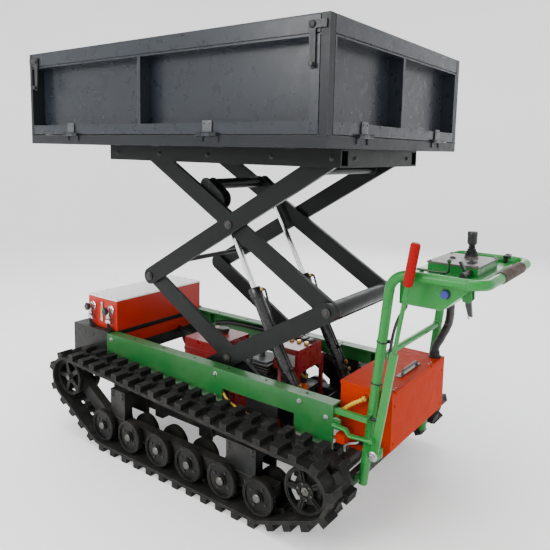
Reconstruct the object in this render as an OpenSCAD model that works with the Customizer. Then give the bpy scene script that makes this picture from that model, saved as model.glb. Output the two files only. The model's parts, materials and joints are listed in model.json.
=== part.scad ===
// Walk-behind tracked mini dumper with a two-stage scissor lift and a drop-side load bed.
// Origin: ground level, midway between the two ends, on the centre line.
// +X is forward (away from the operator), +Y is the machine's left, +Z is up. Millimetres.

/* [Load bed] */
// length of the load bed over its panels
bed_len = 1470; // [1200:1800]
// width of the load bed over its panels
bed_wid = 1000; // [800:1200]
// height of the load bed from the underside of its floor frame to the panel tops
bed_high = 367; // [250:500]
// depth of the folded frame round a side panel
panel_t = 56; // [50:70]

/* [Lift] */
// angle of the scissor arms to the ground as drawn (raised)
lift_angle = 30.5; // [20:40]
// distance between the two end pins of one arm
arm_len = 1035; // [900:1200]
// depth of an arm
arm_wid = 70; // [50:90]
// height of the lowest pins above the ground
pin_z = 184; // [170:220]

/* [Tracks] */
// width of one rubber track
track_wid = 150; // [120:200]
// number of lugs around one track
lug_count = 42; // [30:60]
// height of a lug
lug_high = 22; // [15:30]

/* [Handle] */
// height of the grip bar above the ground
grip_z = 885; // [800:1100]
// radius of the handle tube
tube_r = 16; // [12:22]

/* [Show] */
// sub-part to draw

/* [Hidden] */
$fn = 48;

rear_x = -401;                         // rear pins of the lift, fixed in X
stage = arm_len * sin(lift_angle);     // height of one lift stage
mid_z = pin_z + stage;
top_z = mid_z + stage;
front_x = rear_x + arm_len * cos(lift_angle);
arm_t = 16;
inner_y = 195;                         // inner face of the inner arms
outer_y = 215;                         // inner face of the outer arms
pin_r = 12;

rail_y = 299;                          // outer face of the chassis rails
rail_top = 428;
rail_front = 696;
rail_rear = -480;
nose_x = 947.6;

bed_rear = -550;
bed_front = bed_rear + bed_len;
bed_y = bed_wid / 2;
bed_z = top_z + 30;                    // underside of the floor frame
floor_z = bed_z + 36;                  // top of the floor
bed_top = bed_z + bed_high;
hinge_z = floor_z + 2;
hinge_out = 8;                         // hinge axis outside the panel face
post = 28;                             // rear corner posts, square
end_t = 15;                            // front end plates, as deep as the side panels

track_in = 319;                        // inner edge of a track
track_mid = track_in + track_wid / 2;
belt = 12;

// track wheels: last roller, first roller, idler, sprocket, as [x, z] and radius of the path
wc = [[-286, 100], [541, 100], [775, 250], [-475, 195]];
wr = [66, 66, 82, 82];
roller_r = 65;
wheel_r = 80;
roller_pitch = (wc[1][0] - wc[0][0]) / 5;

handle_y = 245;
foot = [-571, 165];
knee = [-642, grip_z];
grip_x = -928;

lever_y = 286;
lever_foot = [-628, 298];
lever_lean = 8.66;

cyl_y = 169;
low_eye = [165, 30];                   // cylinder foot in the lower inner arm's own axes
high_eye = [650, 25];                  // rod eye in the upper inner arm's own axes
low_pt = [rear_x, pin_z] + turn(lift_angle, low_eye);
high_pt = [rear_x, mid_z] + turn(lift_angle, high_eye);
cyl_len = norm(high_pt - low_pt);
cyl_dir = atan2(high_pt[1] - low_pt[1], high_pt[0] - low_pt[0]);

function turn(a, p) = [p[0] * cos(a) - p[1] * sin(a), p[0] * sin(a) + p[1] * cos(a)];

// ---- track path ----
function side(i) = let (j = (i + 1) % 4, d = wc[j] - wc[i])
  atan2(d[1], d[0]) - 90 + asin((wr[i] - wr[j]) / norm(d));
function wrap(a, lo) = a < lo ? wrap(a + 360, lo) : (a >= lo + 360 ? wrap(a - 360, lo) : a);
edge = [for (i = [0:3]) wrap(side(i), -91)];
start = [edge[3] - 360, edge[0], edge[1], edge[2]];
function on(i, a, off) = wc[i] + (wr[i] + off) * [cos(a), sin(a)];
steps = [3, 3, 16, 16];
function outline(off) = [for (i = [0:3]) for (k = [0:steps[i]])
  on(i, start[i] + (edge[i] - start[i]) * k / steps[i], off)];
arc_len = [for (i = [0:3]) wr[i] * (edge[i] - start[i]) * PI / 180];
run_len = [for (i = [0:3]) norm(on((i + 1) % 4, edge[i], 0) - on(i, edge[i], 0))];
function total(i) = i < 0 ? 0 : arc_len[i] + run_len[i] + total(i - 1);
loop_len = total(3);
// position and outward angle at a distance s along the path
function at(s, i = 0) =
  s > arc_len[i] + run_len[i] && i < 3 ? at(s - arc_len[i] - run_len[i], i + 1) :
  s <= arc_len[i] ?
    let (a = start[i] + s / wr[i] * 180 / PI) [on(i, a, 0), a] :
    let (f = (s - arc_len[i]) / run_len[i])
      [on(i, edge[i], 0) * (1 - f) + on((i + 1) % 4, edge[i], 0) * f, edge[i]];

// ---- helpers ----
module box(a, b) { translate(a) cube(b - a); }
// draw a flat XZ outline as a plate from y0 to y1
module plate(y0, y1) { translate([0, y1, 0]) rotate([90, 0, 0]) linear_extrude(y1 - y0) children(); }
// a round bar along Y through [x, z]
module bar(p, r, y0, y1) { plate(y0, y1) translate(p) circle(r); }
module both() { children(); mirror([0, 1, 0]) children(); }
// a bent round tube in the local XY plane, corner radius rad
module bent(p, rad, r) {
  n = len(p) - 1;
  dir = [for (i = [0:n - 1]) atan2(p[i + 1][1] - p[i][1], p[i + 1][0] - p[i][0])];
  trn = [for (i = [0:n]) i == 0 || i == n ? 0 : wrap(dir[i] - dir[i - 1], -180)];
  cut = [for (i = [0:n]) rad * tan(abs(trn[i]) / 2)];
  for (i = [0:n - 1]) {
    u = [cos(dir[i]), sin(dir[i])];
    s = p[i] + u * cut[i];
    translate([s[0], s[1], 0]) rotate([0, 90, dir[i]])
      cylinder(r = r, h = norm(p[i + 1] - p[i]) - cut[i] - cut[i + 1]);
  }
  for (i = [1:1:n - 1]) {
    sg = trn[i] > 0 ? 1 : -1;
    u = [cos(dir[i - 1]), sin(dir[i - 1])];
    c = p[i] - u * cut[i] + sg * rad * [-u[1], u[0]];
    translate([c[0], c[1], 0])
      rotate([0, 0, sg > 0 ? dir[i - 1] - 90 : dir[i - 1] + 90 - abs(trn[i])])
        rotate_extrude(angle = abs(trn[i])) translate([rad, 0]) circle(r);
  }
}
// local XY plane of bent() turned into the XZ plane at a given y
module upright_plane(y) { translate([0, y, 0]) rotate([90, 0, 0]) children(); }
// a flexible cord through points p, drawn as one many-sided skin
module cord(p, r, sides = 10) {
  n = len(p) - 1;
  t = [for (i = [0:n]) let (d = p[min(i + 1, n)] - p[max(i - 1, 0)]) d / norm(d)];
  a = [for (i = [0:n]) let (c = cross(t[i], [0.31, 0.87, 0.38])) c / norm(c)];
  pts = [for (i = [0:n]) for (k = [0:sides - 1]) let (w = 360 * k / sides)
    p[i] + r * (a[i] * cos(w) + cross(t[i], a[i]) * sin(w))];
  polyhedron(pts, concat(
    [[for (k = [sides - 1:-1:0]) k]],
    [for (i = [0:n - 1]) for (k = [0:sides - 1]) let (j = (k + 1) % sides)
      [i * sides + k, i * sides + j, (i + 1) * sides + j, (i + 1) * sides + k]],
    [[for (k = [0:sides - 1]) n * sides + k]]));
}
// smooth curve through the points of a cord
function curve(p, m = 5) = let (n = len(p) - 1) concat(
  [for (i = [0:n - 1]) for (k = [0:m - 1]) let (u = k / m,
    p0 = p[max(i - 1, 0)], p1 = p[i], p2 = p[i + 1], p3 = p[min(i + 2, n)])
    0.5 * (2 * p1 + (p2 - p0) * u + (2 * p0 - 5 * p1 + 4 * p2 - p3) * u * u
      + (3 * p1 - p0 - 3 * p2 + p3) * u * u * u)], [p[n]]);

// ---- chassis ----
rail_shape = [[rail_front, rail_top], [rail_rear, rail_top], [rail_rear, 262], [-325, 262],
  [-325, 355], [10, 355], [10, 290], [rail_front, 290]];
module side_rails() {
  color([0.17, 0.48, 0.23]) both() {
    plate(rail_y - 8, rail_y) polygon(rail_shape);
    box([rail_rear, rail_y - 48, rail_top - 8], [rail_front, rail_y - 7, rail_top]);
    for (x = [-430, -325, 10, 600]) box([x, rail_y - 34, 362], [x + 8, rail_y - 7, rail_top - 7]);
    // rear tab the drive link runs along
    box([rail_rear - 28, rail_y - 8, 348], [rail_rear + 1, rail_y, 384]);
  }
}
module nose_box() {
  color([0.14, 0.15, 0.15]) difference() {
    box([rail_front, -rail_y, 296], [nose_x, rail_y, 433]);
    box([rail_front + 10, -rail_y + 10, 290], [nose_x - 10, rail_y - 10, 423]);
    for (y = [-190, 190]) translate([nose_x - 15, y, 365]) rotate([0, 90, 0]) cylinder(r = 14, h = 30);
  }
}
deck = 152;                            // top of the tray under the power unit
module belly_frame() {
  color([0.12, 0.12, 0.12]) {
    for (x = [-385, -180, 75, 350, 485]) {
      box([x, -290, 128], [x + 45, 290, 147]);
      both() box([x, 247, 147.2], [x + 45, 290, pin_z - 30]);
    }
    box([-545, -290, 150], [-523, 290, 190]);
    box([-205, -150, 147], [330, 150, deck]);
    both() {
      box([430, 291, 128], [545, rail_y, 290]);
      box([60, 291, 128], [130, rail_y, 290]);
      box([-250, 291, 128], [-110, rail_y, 355]);
      box([-400, 291, 128], [-330, rail_y, 262]);
      difference() {
        box([-545, 291, 128], [-425, rail_y, 262]);
        bar(wc[3], 30, 280, 310);
      }
    }
  }
}
// one long channel open towards the middle, built up from a web and two flanges,
// with the pivot plate at its rear end
module channel(zc, x0, x1, y1) {
  box([x0, y1 - 6, zc - 30], [x1, y1, zc + 30]);
  for (z = [zc - 30, zc + 24]) box([x0, y1 - 44, z], [x1, y1 - 6.2, z + 6]);
  difference() {
    box([x0, y1 - 56, zc - 30], [rear_x + 30, y1 - 44.2, zc + 30]);
    bar([rear_x, zc], pin_r + 0.8, y1 - 60, y1);
  }
}
module base_channels() {
  color([0.13, 0.13, 0.14]) both() channel(pin_z, -430, 668, 291);
}

// ---- tracks ----
module track_frame() {
  color([0.12, 0.12, 0.12]) {
    difference() {
      union() {
        box([-330, track_mid - 20, 86], [580, track_mid + 20, 138]);
        plate(track_mid - 18, track_mid + 18) polygon([[540, 92], [580, 92], [795, 232],
          [790, 272], [752, 268], [540, 138]]);
        box([440, track_mid - 20, 130], [530, track_mid + 20, 255]);
        box([440, rail_y, 215], [530, track_mid + 20, 255]);
        box([-250, track_mid - 20, 130], [-115, track_mid + 20, 240]);
        box([-250, rail_y, 200], [-115, track_mid + 20, 240]);
      }
      for (i = [0:5]) bar([wc[0][0] + i * roller_pitch, 100], 24, track_in, 480);
    }
    bar(wc[2], 14, track_mid - 54, track_mid + 54);
  }
}
module track_frame_left() { track_frame(); }
module track_frame_right() { mirror([0, 1, 0]) track_frame(); }

module lugs(y0, y1, phase) {
  plate(y0, y1) {
    difference() { polygon(outline(belt)); polygon(outline(0)); }
    for (k = [0:lug_count - 1]) {
      q = at(loop_len * (k + phase) / lug_count);
      translate(q[0]) rotate(q[1]) translate([belt - 2, -15]) square([lug_high + 2, 30]);
    }
  }
}
module track() {
  third = (track_wid - 34) / 2;
  color([0.09, 0.09, 0.08]) {
    lugs(track_in, track_in + third, 0);
    lugs(track_in + third + 34, track_in + track_wid, 0.5);
    // middle strip: one link with a guide horn per lug, gaps between them
    plate(track_in + third, track_in + third + 34)
      for (k = [0:lug_count - 1]) {
        q = at(loop_len * (k + 0.25) / lug_count);
        translate(q[0]) rotate(q[1]) {
          translate([0.5, -23]) square([belt + 6, 46]);
          translate([-14, -10]) square([15, 20]);
        }
      }
  }
}
module track_left() { track(); }
module track_right() { mirror([0, 1, 0]) track(); }

module rollers() {
  color([0.13, 0.13, 0.13])
    for (i = [0:5]) translate([wc[0][0] + i * roller_pitch, track_mid, 100]) rotate([90, 0, 0]) {
      for (s = [-1, 1]) translate([0, 0, s * 45 - 9]) difference() {
        cylinder(r = roller_r, h = 18);
        translate([0, 0, s > 0 ? 13 : -1]) difference() {
          cylinder(r = 54, h = 6);
          translate([0, 0, -1]) cylinder(r = 22, h = 8);
        }
      }
      translate([0, 0, -37]) cylinder(r = 24, h = 74);
      translate([0, 0, -60]) cylinder(r = 16, h = 120);
    }
}
module rollers_left() { rollers(); }
module rollers_right() { mirror([0, 1, 0]) rollers(); }

module spoked(r, w, spokes, hub, bore) {
  difference() {
    union() {
      difference() { cylinder(r = r, h = w); translate([0, 0, -1]) cylinder(r = r - 13, h = w + 2); }
      for (k = [0:spokes - 1]) rotate(k * 360 / spokes) translate([hub - 4, -9, 2])
        cube([r - hub - 7, 18, w - 4]);
      cylinder(r = hub, h = w);
    }
    translate([0, 0, -1]) cylinder(r = bore, h = w + 2);
  }
}
module idler() {
  color([0.15, 0.15, 0.14]) translate([wc[2][0], track_mid, wc[2][1]]) rotate([90, 0, 0])
    for (z = [-52, 30]) translate([0, 0, z]) spoked(wheel_r, 22, 5, 26, 14.8);
}
module idler_left() { idler(); }
module idler_right() { mirror([0, 1, 0]) idler(); }
module sprocket() {
  color([0.16, 0.16, 0.15]) translate([wc[3][0], track_mid, wc[3][1]]) rotate([90, 0, 0]) {
    for (z = [-54, 36]) translate([0, 0, z]) spoked(wheel_r, 18, 5, 32, 18.8);
    difference() {
      translate([0, 0, -37]) cylinder(r = 50, h = 74);
      translate([0, 0, -38]) cylinder(r = 18.8, h = 76);
    }
  }
}
module sprocket_left() { sprocket(); }
module sprocket_right() { mirror([0, 1, 0]) sprocket(); }
module drive_motors() {
  color([0.2, 0.2, 0.2]) both() {
    bar(wc[3], 29, 285, 336);
    bar(wc[3], 18, 330, track_mid + 50);
    bar(wc[3], 37, 150, 291);
    bar(wc[3], 30, 120, 151);
    for (x = [-490, -460]) bar([x, 222], 7, 170, 250);
  }
}

// ---- power unit ----
module engine_block() {
  color([0.45, 0.46, 0.47]) {
    box([-50, -92, deck], [120, 88, 290]);
    for (k = [0:8]) box([-30, -70, 290 + k * 11], [100, 70, 295 + k * 11]);
    box([-15, -55, 289], [85, 55, 390]);
    bar([35, 225], 26, -128, -91);
    translate([50, 0, 385]) cylinder(r = 12, h = 24);
  }
}
module engine_shroud() {
  color([0.55, 0.06, 0.07]) difference() {
    union() { bar([35, 250], 82, 90, 136); bar([35, 250], 40, 135, 141); }
    for (k = [0:7]) translate([35, 120, 250]) rotate([0, k * 45, 0]) box([48, -5, -5], [74, 30, 5]);
  }
}
module fuel_tank() {
  color([0.5, 0.06, 0.07]) {
    difference() {
      box([205, -100, 345], [400, 112, 430]);
      box([210, -95, 350], [395, 107, 425]);
    }
    translate([300, -30, 429]) cylinder(r = 26, h = 16);
    for (x = [212, 312], y = [-70, 70]) box([x, y - 10, deck], [x + 16, y + 10, 346]);
  }
}
module hydraulic_pump() {
  color([0.28, 0.29, 0.3]) {
    box([-195, -75, deck], [-85, 72, 250]);
    box([-180, -60, 249], [-105, 60, 300]);
    translate([-140, 40, 299]) cylinder(r = 16, h = 60);
    translate([-140, -40, 299]) cylinder(r = 12, h = 40);
    translate([-86, 0, 210]) rotate([0, 90, 0]) cylinder(r = 30, h = 36);
  }
}
module valve_box() {
  color([0.6, 0.08, 0.08]) {
    box([-205, -60, 405], [-90, 105, 498]);
    for (x = [-198, -112]) {
      box([x, -90, deck], [x + 14, -76, 440]);
      box([x, 76, deck], [x + 14, 90, 406]);
    }
    box([-198, -90, 425], [-98, -59, 440]);
  }
}
module oil_tank() {
  color([0.84, 0.18, 0.07]) difference() {
    box([676, -262, 433], [878, 262, 570]);
    box([682, -256, 439], [872, 256, 575]);
  }
}
module oil_tank_lid() {
  color([0.92, 0.92, 0.9]) {
    box([673, -265, 570], [881, 265, 576]);
    box([686, -252, 560], [868, 252, 571]);
  }
}
module tank_valves() {
  color([0.75, 0.75, 0.76]) for (x = [715, 845]) {
    bar([x, 525], 15, 262, 272);
    bar([x, 525], 11, 271, 290);
    translate([x, 280, 470]) cylinder(r = 9, h = 50);
    box([x - 16, 262, 466], [x + 16, 284, 480]);
  }
}
module knob(x) {
  color([0.08, 0.08, 0.09]) {
    bar([x, 525], 12, 291, 305);
    for (k = [0:2]) translate([x, 291, 525]) rotate([0, 60 * k, 0]) box([-17, 2, -5], [17, 11, 5]);
  }
}
module valve_knob_front() { knob(845); }
module valve_knob_rear() { knob(715); }

// ---- rear box ----
module battery_box() {
  color([0.84, 0.2, 0.07]) difference() {
    union() {
      plate(-226, 226) polygon([[-465, 262], [-628, 262], [-655, 290], [-655, 478], [-465, 478]]);
      box([-655, -226, 477], [-465, -172, 488]);
      both() box([-520, 225, 300], [-488, 291, 330]);
    }
    difference() {
      plate(-220, 220) polygon([[-471, 268], [-625, 268], [-649, 293], [-649, 490], [-471, 490]]);
      box([-660, -225, 478], [-460, -172, 491]);
    }
  }
}
module battery_lid() {
  color([0.9, 0.3, 0.1]) {
    box([-655, -170, 479], [-463, 228, 488]);
    difference() {
      box([-646, -168, 472], [-474, 217, 480]);
      box([-640, -162, 470], [-480, 211, 479]);
    }
    bar([-655, 489], 5, -150, -90);
    bar([-655, 489], 5, 150, 210);
  }
}
module lid_handle() {
  color([0.6, 0.6, 0.6]) {
    box([-615, -90, 488.5], [-597, 82, 491]);
    translate([-606, -4, 491]) rotate([90, 0, 90]) translate([0, 0, -5])
      bent([[-60, 0], [-60, 14], [60, 14], [60, 0]], 8, 5);
  }
}

// ---- handle ----
module side_handle() {
  upright_plane(handle_y) bent([foot, knee, [-880, grip_z]], 62, tube_r);
  box([-602, handle_y - 6, 398], [-588, 285, 416]);
  box([-600, 277, 398], [-440, rail_y - 8, 416]);
  box([-578, handle_y - 9, 165], [-545, handle_y + 9, 185]);
  box([-760, 209, grip_z - 12], [-735, handle_y, grip_z - 6]);
}
module handle_left() {
  color([0.22, 0.6, 0.3]) {
    side_handle();
    // pivot boss for the drive lever
    box([-640, handle_y + 2, 283], [-580, 266, 313]);
    bar(lever_foot, 20, 264, 277);
    bar(lever_foot, 9, 276, 300);
  }
}
module handle_right() { color([0.22, 0.6, 0.3]) mirror([0, 1, 0]) side_handle(); }
module grip_bar() {
  color([0.25, 0.62, 0.33]) {
    translate([0, 0, grip_z])
      bent([[-880, handle_y], [grip_x, handle_y], [grip_x, -handle_y], [-880, -handle_y]], 46, tube_r);
    // cross bar between the uprights
    bar([-614.5, 606], 11, -handle_y + 17, handle_y - 17);
    both() bar([-614.5, 606], 14, handle_y - 18, handle_y - tube_r);
  }
}
module hand_grip() {
  color([0.16, 0.13, 0.11]) difference() {
    union() {
      bar([grip_x, grip_z], tube_r + 3, -128, 92);
      for (y = [-128:20:80]) bar([grip_x, grip_z], tube_r + 3.6, y, y + 9);
    }
    bar([grip_x, grip_z], tube_r, -140, 100);
  }
}
box_top = grip_z - 6;
module control_box() {
  color([0.3, 0.68, 0.36]) {
    difference() {
      plate(-209, 209) polygon([[-655, box_top], [-655, 785], [-795, 785], [-878, 862], [-878, box_top]]);
      plate(-203, 203) polygon([[-661, box_top - 6], [-661, 791], [-792, 791], [-872, 865],
        [-872, box_top - 6]]);
      bar([-804, 838], 8.8, 200, 212);
    }
    // ears for the throttle lever, saddles for the two rods on top
    for (y = [135.5, 161]) plate(y, y + 3.5) polygon([[-866, 850.5], [-838, 825], [-840, 812],
      [-860, 810], [-868, 820]]);
    box([-700, 132, box_top - 1], [-690, 148, box_top + 5]);
    box([-770, 132, box_top - 1], [-760, 148, box_top + 5]);
    for (y = [112, 160]) box([-844, y, box_top - 1], [-832, y + 8, box_top + 5]);
    difference() {
      box([-862, -102, box_top - 1], [-700, 102, 906]);
      box([-856, -96, box_top - 7], [-706, 96, 907]);
    }
  }
}
module console_plate() {
  color([0.5, 0.48, 0.47]) {
    difference() {
      box([-865, -104, 906], [-697, 104, 912]);
      translate([-790, -50, 900]) cylinder(r = 15, h = 20);
    }
    for (x = [-856, -706], y = [-95, 95]) translate([x, y, 911]) cylinder(r = 4, h = 4);
    // boot collar of the joystick
    translate([-790, -50, 911]) difference() {
      cylinder(r1 = 25, r2 = 20, h = 9);
      translate([0, 0, -1]) cylinder(r = 15, h = 11);
    }
  }
}
module joystick() {
  color([0.06, 0.06, 0.06]) translate([-790, -50, 0]) {
    translate([0, 0, 914]) sphere(r = 11);
    translate([0, 0, 914]) cylinder(r = 6, h = 50);
    translate([0, 0, 948]) cylinder(r1 = 10, r2 = 14, h = 40);
    translate([0, 0, 988]) cylinder(r1 = 14, r2 = 10, h = 12);
  }
}
module stop_button() {
  color([0.1, 0.15, 0.5]) {
    bar([-804, 838], 8, 204, 219);
    bar([-804, 838], 12, 215, 222);
  }
}
module speed_lever() {
  color([0.1, 0.22, 0.12]) {
    upright_plane(140) bent([[-680, 888], [-784, 888], [-784, 930]], 12, 4);
    translate([-784, 140, 926]) sphere(r = 7);
  }
}
module throttle_lever() {
  color([0.05, 0.05, 0.05]) {
    translate([-852, 150, 0]) {
      plate(-6, 6) polygon([[-8, 828], [8, 828], [6, 800], [-4, 770], [-16, 766], [-12, 800]]);
      bar([0, 822], 9, -10, 10);
    }
  }
}
module brake_lever() {
  color([0.05, 0.05, 0.05]) {
    bar([-838, 893], 9, 105, 175);
    translate([-838, 140, 893]) rotate([0, -62, 0]) box([0, -6, -4], [42, 6, 4]);
  }
}
// axes at the lever's foot, leaning back with the lever
module on_lever() {
  translate([lever_foot[0], lever_y, lever_foot[1]]) rotate([0, -lever_lean, 0]) children();
}
module drive_lever() {
  color([0.24, 0.58, 0.3]) on_lever() {
    difference() {
      union() {
        rotate([90, 0, 0]) translate([0, 0, -8]) cylinder(r = 19, h = 16);
        box([-13, -5, 5], [13, 5, 350]);
      }
      rotate([90, 0, 0]) translate([0, 0, -12]) cylinder(r = 9.5, h = 24);
    }
    translate([0, 0, 345]) cylinder(r = 7, h = 245);
  }
}
module lever_grip() {
  color([0.8, 0.12, 0.13]) on_lever() difference() {
    union() {
      translate([0, 0, 575]) cylinder(r = 15, h = 124);
      translate([0, 0, 699]) cylinder(r1 = 15, r2 = 11, h = 6);
    }
    translate([0, 0, 570]) cylinder(r = 7, h = 20);
  }
}
module drive_link() {
  color([0.42, 0.72, 0.42]) {
    // cranked flat bar
    plate(303, 309) polygon([[-632, 347], [-632, 359], [-550, 353], [-539, 369], [-482, 372],
      [-482, 360], [-532, 357], [-544, 340]]);
    bar([-624, 352], 8, 291.5, 304);
    bar([-490, 366], 5, 299.5, 304);
  }
}
module wiring_loom() {
  color([0.05, 0.05, 0.05]) {
    cord(curve([[-700, -120, 782.5], [-700, -121, 757], [-698, -140, 705], [-680, -178, 635],
      [-648, -198, 568], [-628, -200, 530], [-626, -200, 508], [-626, -200, 489.4]]), 15);
    cord(curve([[-668, 190, 784], [-668, 190, 768], [-655, 208, 735], [-646, 220, 690],
      [-641, 228, 630], [-641, 236, 560], [-634, 241, 500], [-640, 254, 460], [-634, 266, 425],
      [-618, 268, 408], [-603, 268, 407]]), 5);
  }
}
module hydraulic_hoses() {
  color([0.72, 0.62, 0.12]) {
    cord(curve([[-560, 226.8, 452], [-560, 239, 452], [-550, 250, 446], [-526, 253, 430],
      [-495, 251, 404], [-461, 243, 376], [-447, 200, 335], [-443, 145, 283], [-400, 80, 210],
      [-330, 40, 166], [-260, 30, 162], [-196.5, 30, 162]]), 7);
  }
}

// ---- scissor lift ----
// axes of an arm: local X along the arm from its rear pin, local Z across it
module on_arm(p, a) { translate([p[0], 0, p[1]]) rotate([0, -a, 0]) children(); }
module arm_flat(holes) {
  difference() {
    union() {
      translate([0, -arm_wid / 2]) square([arm_len, arm_wid]);
      circle(arm_wid / 2);
      translate([arm_len, 0]) circle(arm_wid / 2);
    }
    for (h = holes) translate([h[0], 0]) circle(h[1]);
  }
}
module pin(s, head = true) {
  bar([s, 0], pin_r, inner_y + arm_t, head ? 233 : 246);
  if (head) bar([s, 0], 18, 232.2, 234.4);
}
module slide_roller(s, y0) {
  bar([s, 0], pin_r, y0, 255);
  bar([s, 0], 21, 250, 280);
}
module eye_plates(p, rp, q, rq) {
  both() for (y = [[146, 152], [186, 194]]) plate(y[0], y[1]) {
    n = [p[1] - q[1], q[0] - p[0]] / norm(q - p);
    translate(p) circle(rp);
    translate(q) circle(rq);
    polygon([p - rp * n, q - rq * n, q + rq * n, p + rp * n]);
  }
}
module lower_arms_inner() {
  color([0.12, 0.13, 0.13]) on_arm([rear_x, pin_z], lift_angle) {
    both() {
      plate(inner_y, inner_y + arm_t) arm_flat([]);
      pin(0, false);
      pin(arm_len / 2);
      pin(arm_len);
      bar(low_eye, 9, 146, 194);
    }
    bar([low_eye[0], -14], 18, -inner_y, inner_y);
    eye_plates([low_eye[0], -14], 22, low_eye, 16);
  }
}
module lower_arms_outer() {
  color([0.12, 0.13, 0.13]) on_arm([rear_x, mid_z], -lift_angle) {
    both() {
      plate(outer_y, outer_y + arm_t) arm_flat([[0, pin_r + 1.5], [arm_len / 2, pin_r + 0.8]]);
      slide_roller(arm_len, outer_y + arm_t);
    }
    bar([arm_len - 120, 0], 16, -outer_y, outer_y);
  }
}
module upper_arms_outer() {
  color([0.12, 0.13, 0.13]) on_arm([rear_x, top_z], -lift_angle) {
    both() {
      plate(outer_y, outer_y + arm_t) arm_flat([[arm_len, pin_r + 0.8], [arm_len / 2, pin_r + 0.8]]);
      bar([0, 0], pin_r, outer_y + arm_t, 246);
    }
    bar([arm_len - 145, 0], 10, -outer_y, outer_y);
    bar([90, 0], 16, -outer_y, outer_y);
  }
}
module upper_arms_inner() {
  color([0.12, 0.13, 0.13]) on_arm([rear_x, mid_z], lift_angle) {
    both() {
      plate(inner_y, inner_y + arm_t) arm_flat([]);
      pin(0);
      pin(arm_len / 2);
      slide_roller(arm_len, inner_y + arm_t);
      bar(high_eye, 14, 143, 147);
    }
    bar([0, 0], 30, -inner_y, inner_y);
    bar([725, 45], 22, -inner_y, inner_y);
    difference() {
      eye_plates(high_eye, 40, [725, 45], 27);
      bar([725, 45], 21, -inner_y, inner_y);
    }
  }
}
// ---- lift cylinders ----
barrel_end = 490;
rod_len = 462;
module cylinder_barrels() {
  color([0.1, 0.1, 0.1]) on_arm(low_pt, cyl_dir) both() {
    difference() {
      union() {
        bar([0, 0], 19, cyl_y - 15, cyl_y + 15);
        translate([0, cyl_y - 11, -11]) cube([44, 22, 22]);
        translate([36, cyl_y, 0]) rotate([0, 90, 0]) cylinder(r = 22, h = barrel_end - 36);
        translate([barrel_end - 34, cyl_y, 0]) rotate([0, 90, 0]) cylinder(r = 23.5, h = 40);
      }
      bar([0, 0], 9.6, cyl_y - 20, cyl_y + 20);
      translate([52, cyl_y, 0]) rotate([0, 90, 0]) cylinder(r = 18, h = barrel_end - 80);
      translate([50, cyl_y, 0]) rotate([0, 90, 0]) cylinder(r = 11.6, h = barrel_end);
    }
    translate([60, cyl_y, 20]) cylinder(r = 7, h = 14);
    translate([barrel_end - 12, cyl_y, 20]) cylinder(r = 7, h = 14);
  }
}
module cylinder_rods() {
  color([0.8, 0.8, 0.82]) on_arm(low_pt, cyl_dir) both() {
    translate([cyl_len - rod_len, cyl_y, 0]) rotate([0, 90, 0]) cylinder(r = 11, h = rod_len - 12);
    translate([cyl_len - rod_len, cyl_y, 0]) rotate([0, 90, 0]) cylinder(r = 17.4, h = 22);
    bar([cyl_len, 0], 18, cyl_y - 13, cyl_y + 13);
    bar([cyl_len, 0], 8, cyl_y - 15, cyl_y + 15);
  }
}

// ---- platform and load bed ----
module subframe() {
  color([0.12, 0.13, 0.13]) {
    both() channel(top_z, -474, 668, 291);
    box([-474, -234.8, top_z - 30], [-444, 234.8, top_z + 30]);
    box([654, -246.8, top_z - 30], [668, 246.8, top_z + 30]);
  }
}
module knuckles(len, h) {
  // fixed halves of one hinge, axis along local X at the origin
  for (x = [-len / 2, len / 2 - 24]) {
    translate([x, 0, 0]) rotate([0, 90, 0]) cylinder(r = 6.5, h = 24);
    box([x, -hinge_out, -h], [x + 24, -hinge_out + 4, 0]);
    box([x, -hinge_out, -5], [x + 24, 0, 0]);
  }
  translate([-len / 2 - 3, 0, 0]) rotate([0, 90, 0]) cylinder(r = 3.5, h = len + 6);
}
module leaf(len, h) {
  // moving half of one hinge
  w = len - 52;
  difference() {
    union() {
      translate([-w / 2, 0, 0]) rotate([0, 90, 0]) cylinder(r = 6.5, h = w);
      box([-w / 2, -hinge_out, 0], [w / 2, -hinge_out + 4, h]);
      box([-w / 2, -hinge_out, 0], [w / 2, 0, 5]);
    }
    translate([-w / 2 - 1, 0, 0]) rotate([0, 90, 0]) cylinder(r = 3.8, h = w + 2);
  }
}
side_hinges = [634, -101];
end_hinges = [-290, 290];
module on_side(x) { translate([x, bed_y + hinge_out, hinge_z]) children(); }
module on_end(y, front) {
  translate([front ? bed_front + hinge_out : bed_rear - hinge_out, y, hinge_z])
    rotate([0, 0, front ? -90 : 90]) children();
}
module bed_floor() {
  color([0.26, 0.28, 0.31]) {
    box([bed_rear, -bed_y, floor_z - 3], [bed_front, bed_y, floor_z]);
    // folded edge frame: upright skirt with a flange turned in below
    difference() {
      box([bed_rear, -bed_y, bed_z], [bed_front, bed_y, floor_z - 2.5]);
      box([bed_rear + 4, -bed_y + 4, bed_z + 4], [bed_front - 4, bed_y - 4, floor_z]);
      box([bed_rear + 34, -bed_y + 34, bed_z - 1], [bed_front - 34, bed_y - 34, floor_z]);
    }
    // cross ribs, angle section
    for (k = [1:5]) {
      box([bed_rear + k * 245 - 3, -bed_y + 3, bed_z], [bed_rear + k * 245 + 3, bed_y - 3, floor_z - 2.5]);
      box([bed_rear + k * 245 - 3, -bed_y + 30, bed_z], [bed_rear + k * 245 + 24, bed_y - 30, bed_z + 4]);
    }
    both() {
      box([bed_rear, bed_y - post, floor_z - 1], [bed_rear + post, bed_y, bed_top]);
      box([bed_front - end_t, bed_y - panel_t, floor_z - 1], [bed_front, bed_y, bed_top]);
    }
    both() for (x = side_hinges) on_side(x) knuckles(90, 24);
    for (y = end_hinges) { on_end(y, true) knuckles(90, 24); on_end(y, false) knuckles(90, 24); }
  }
}
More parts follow.
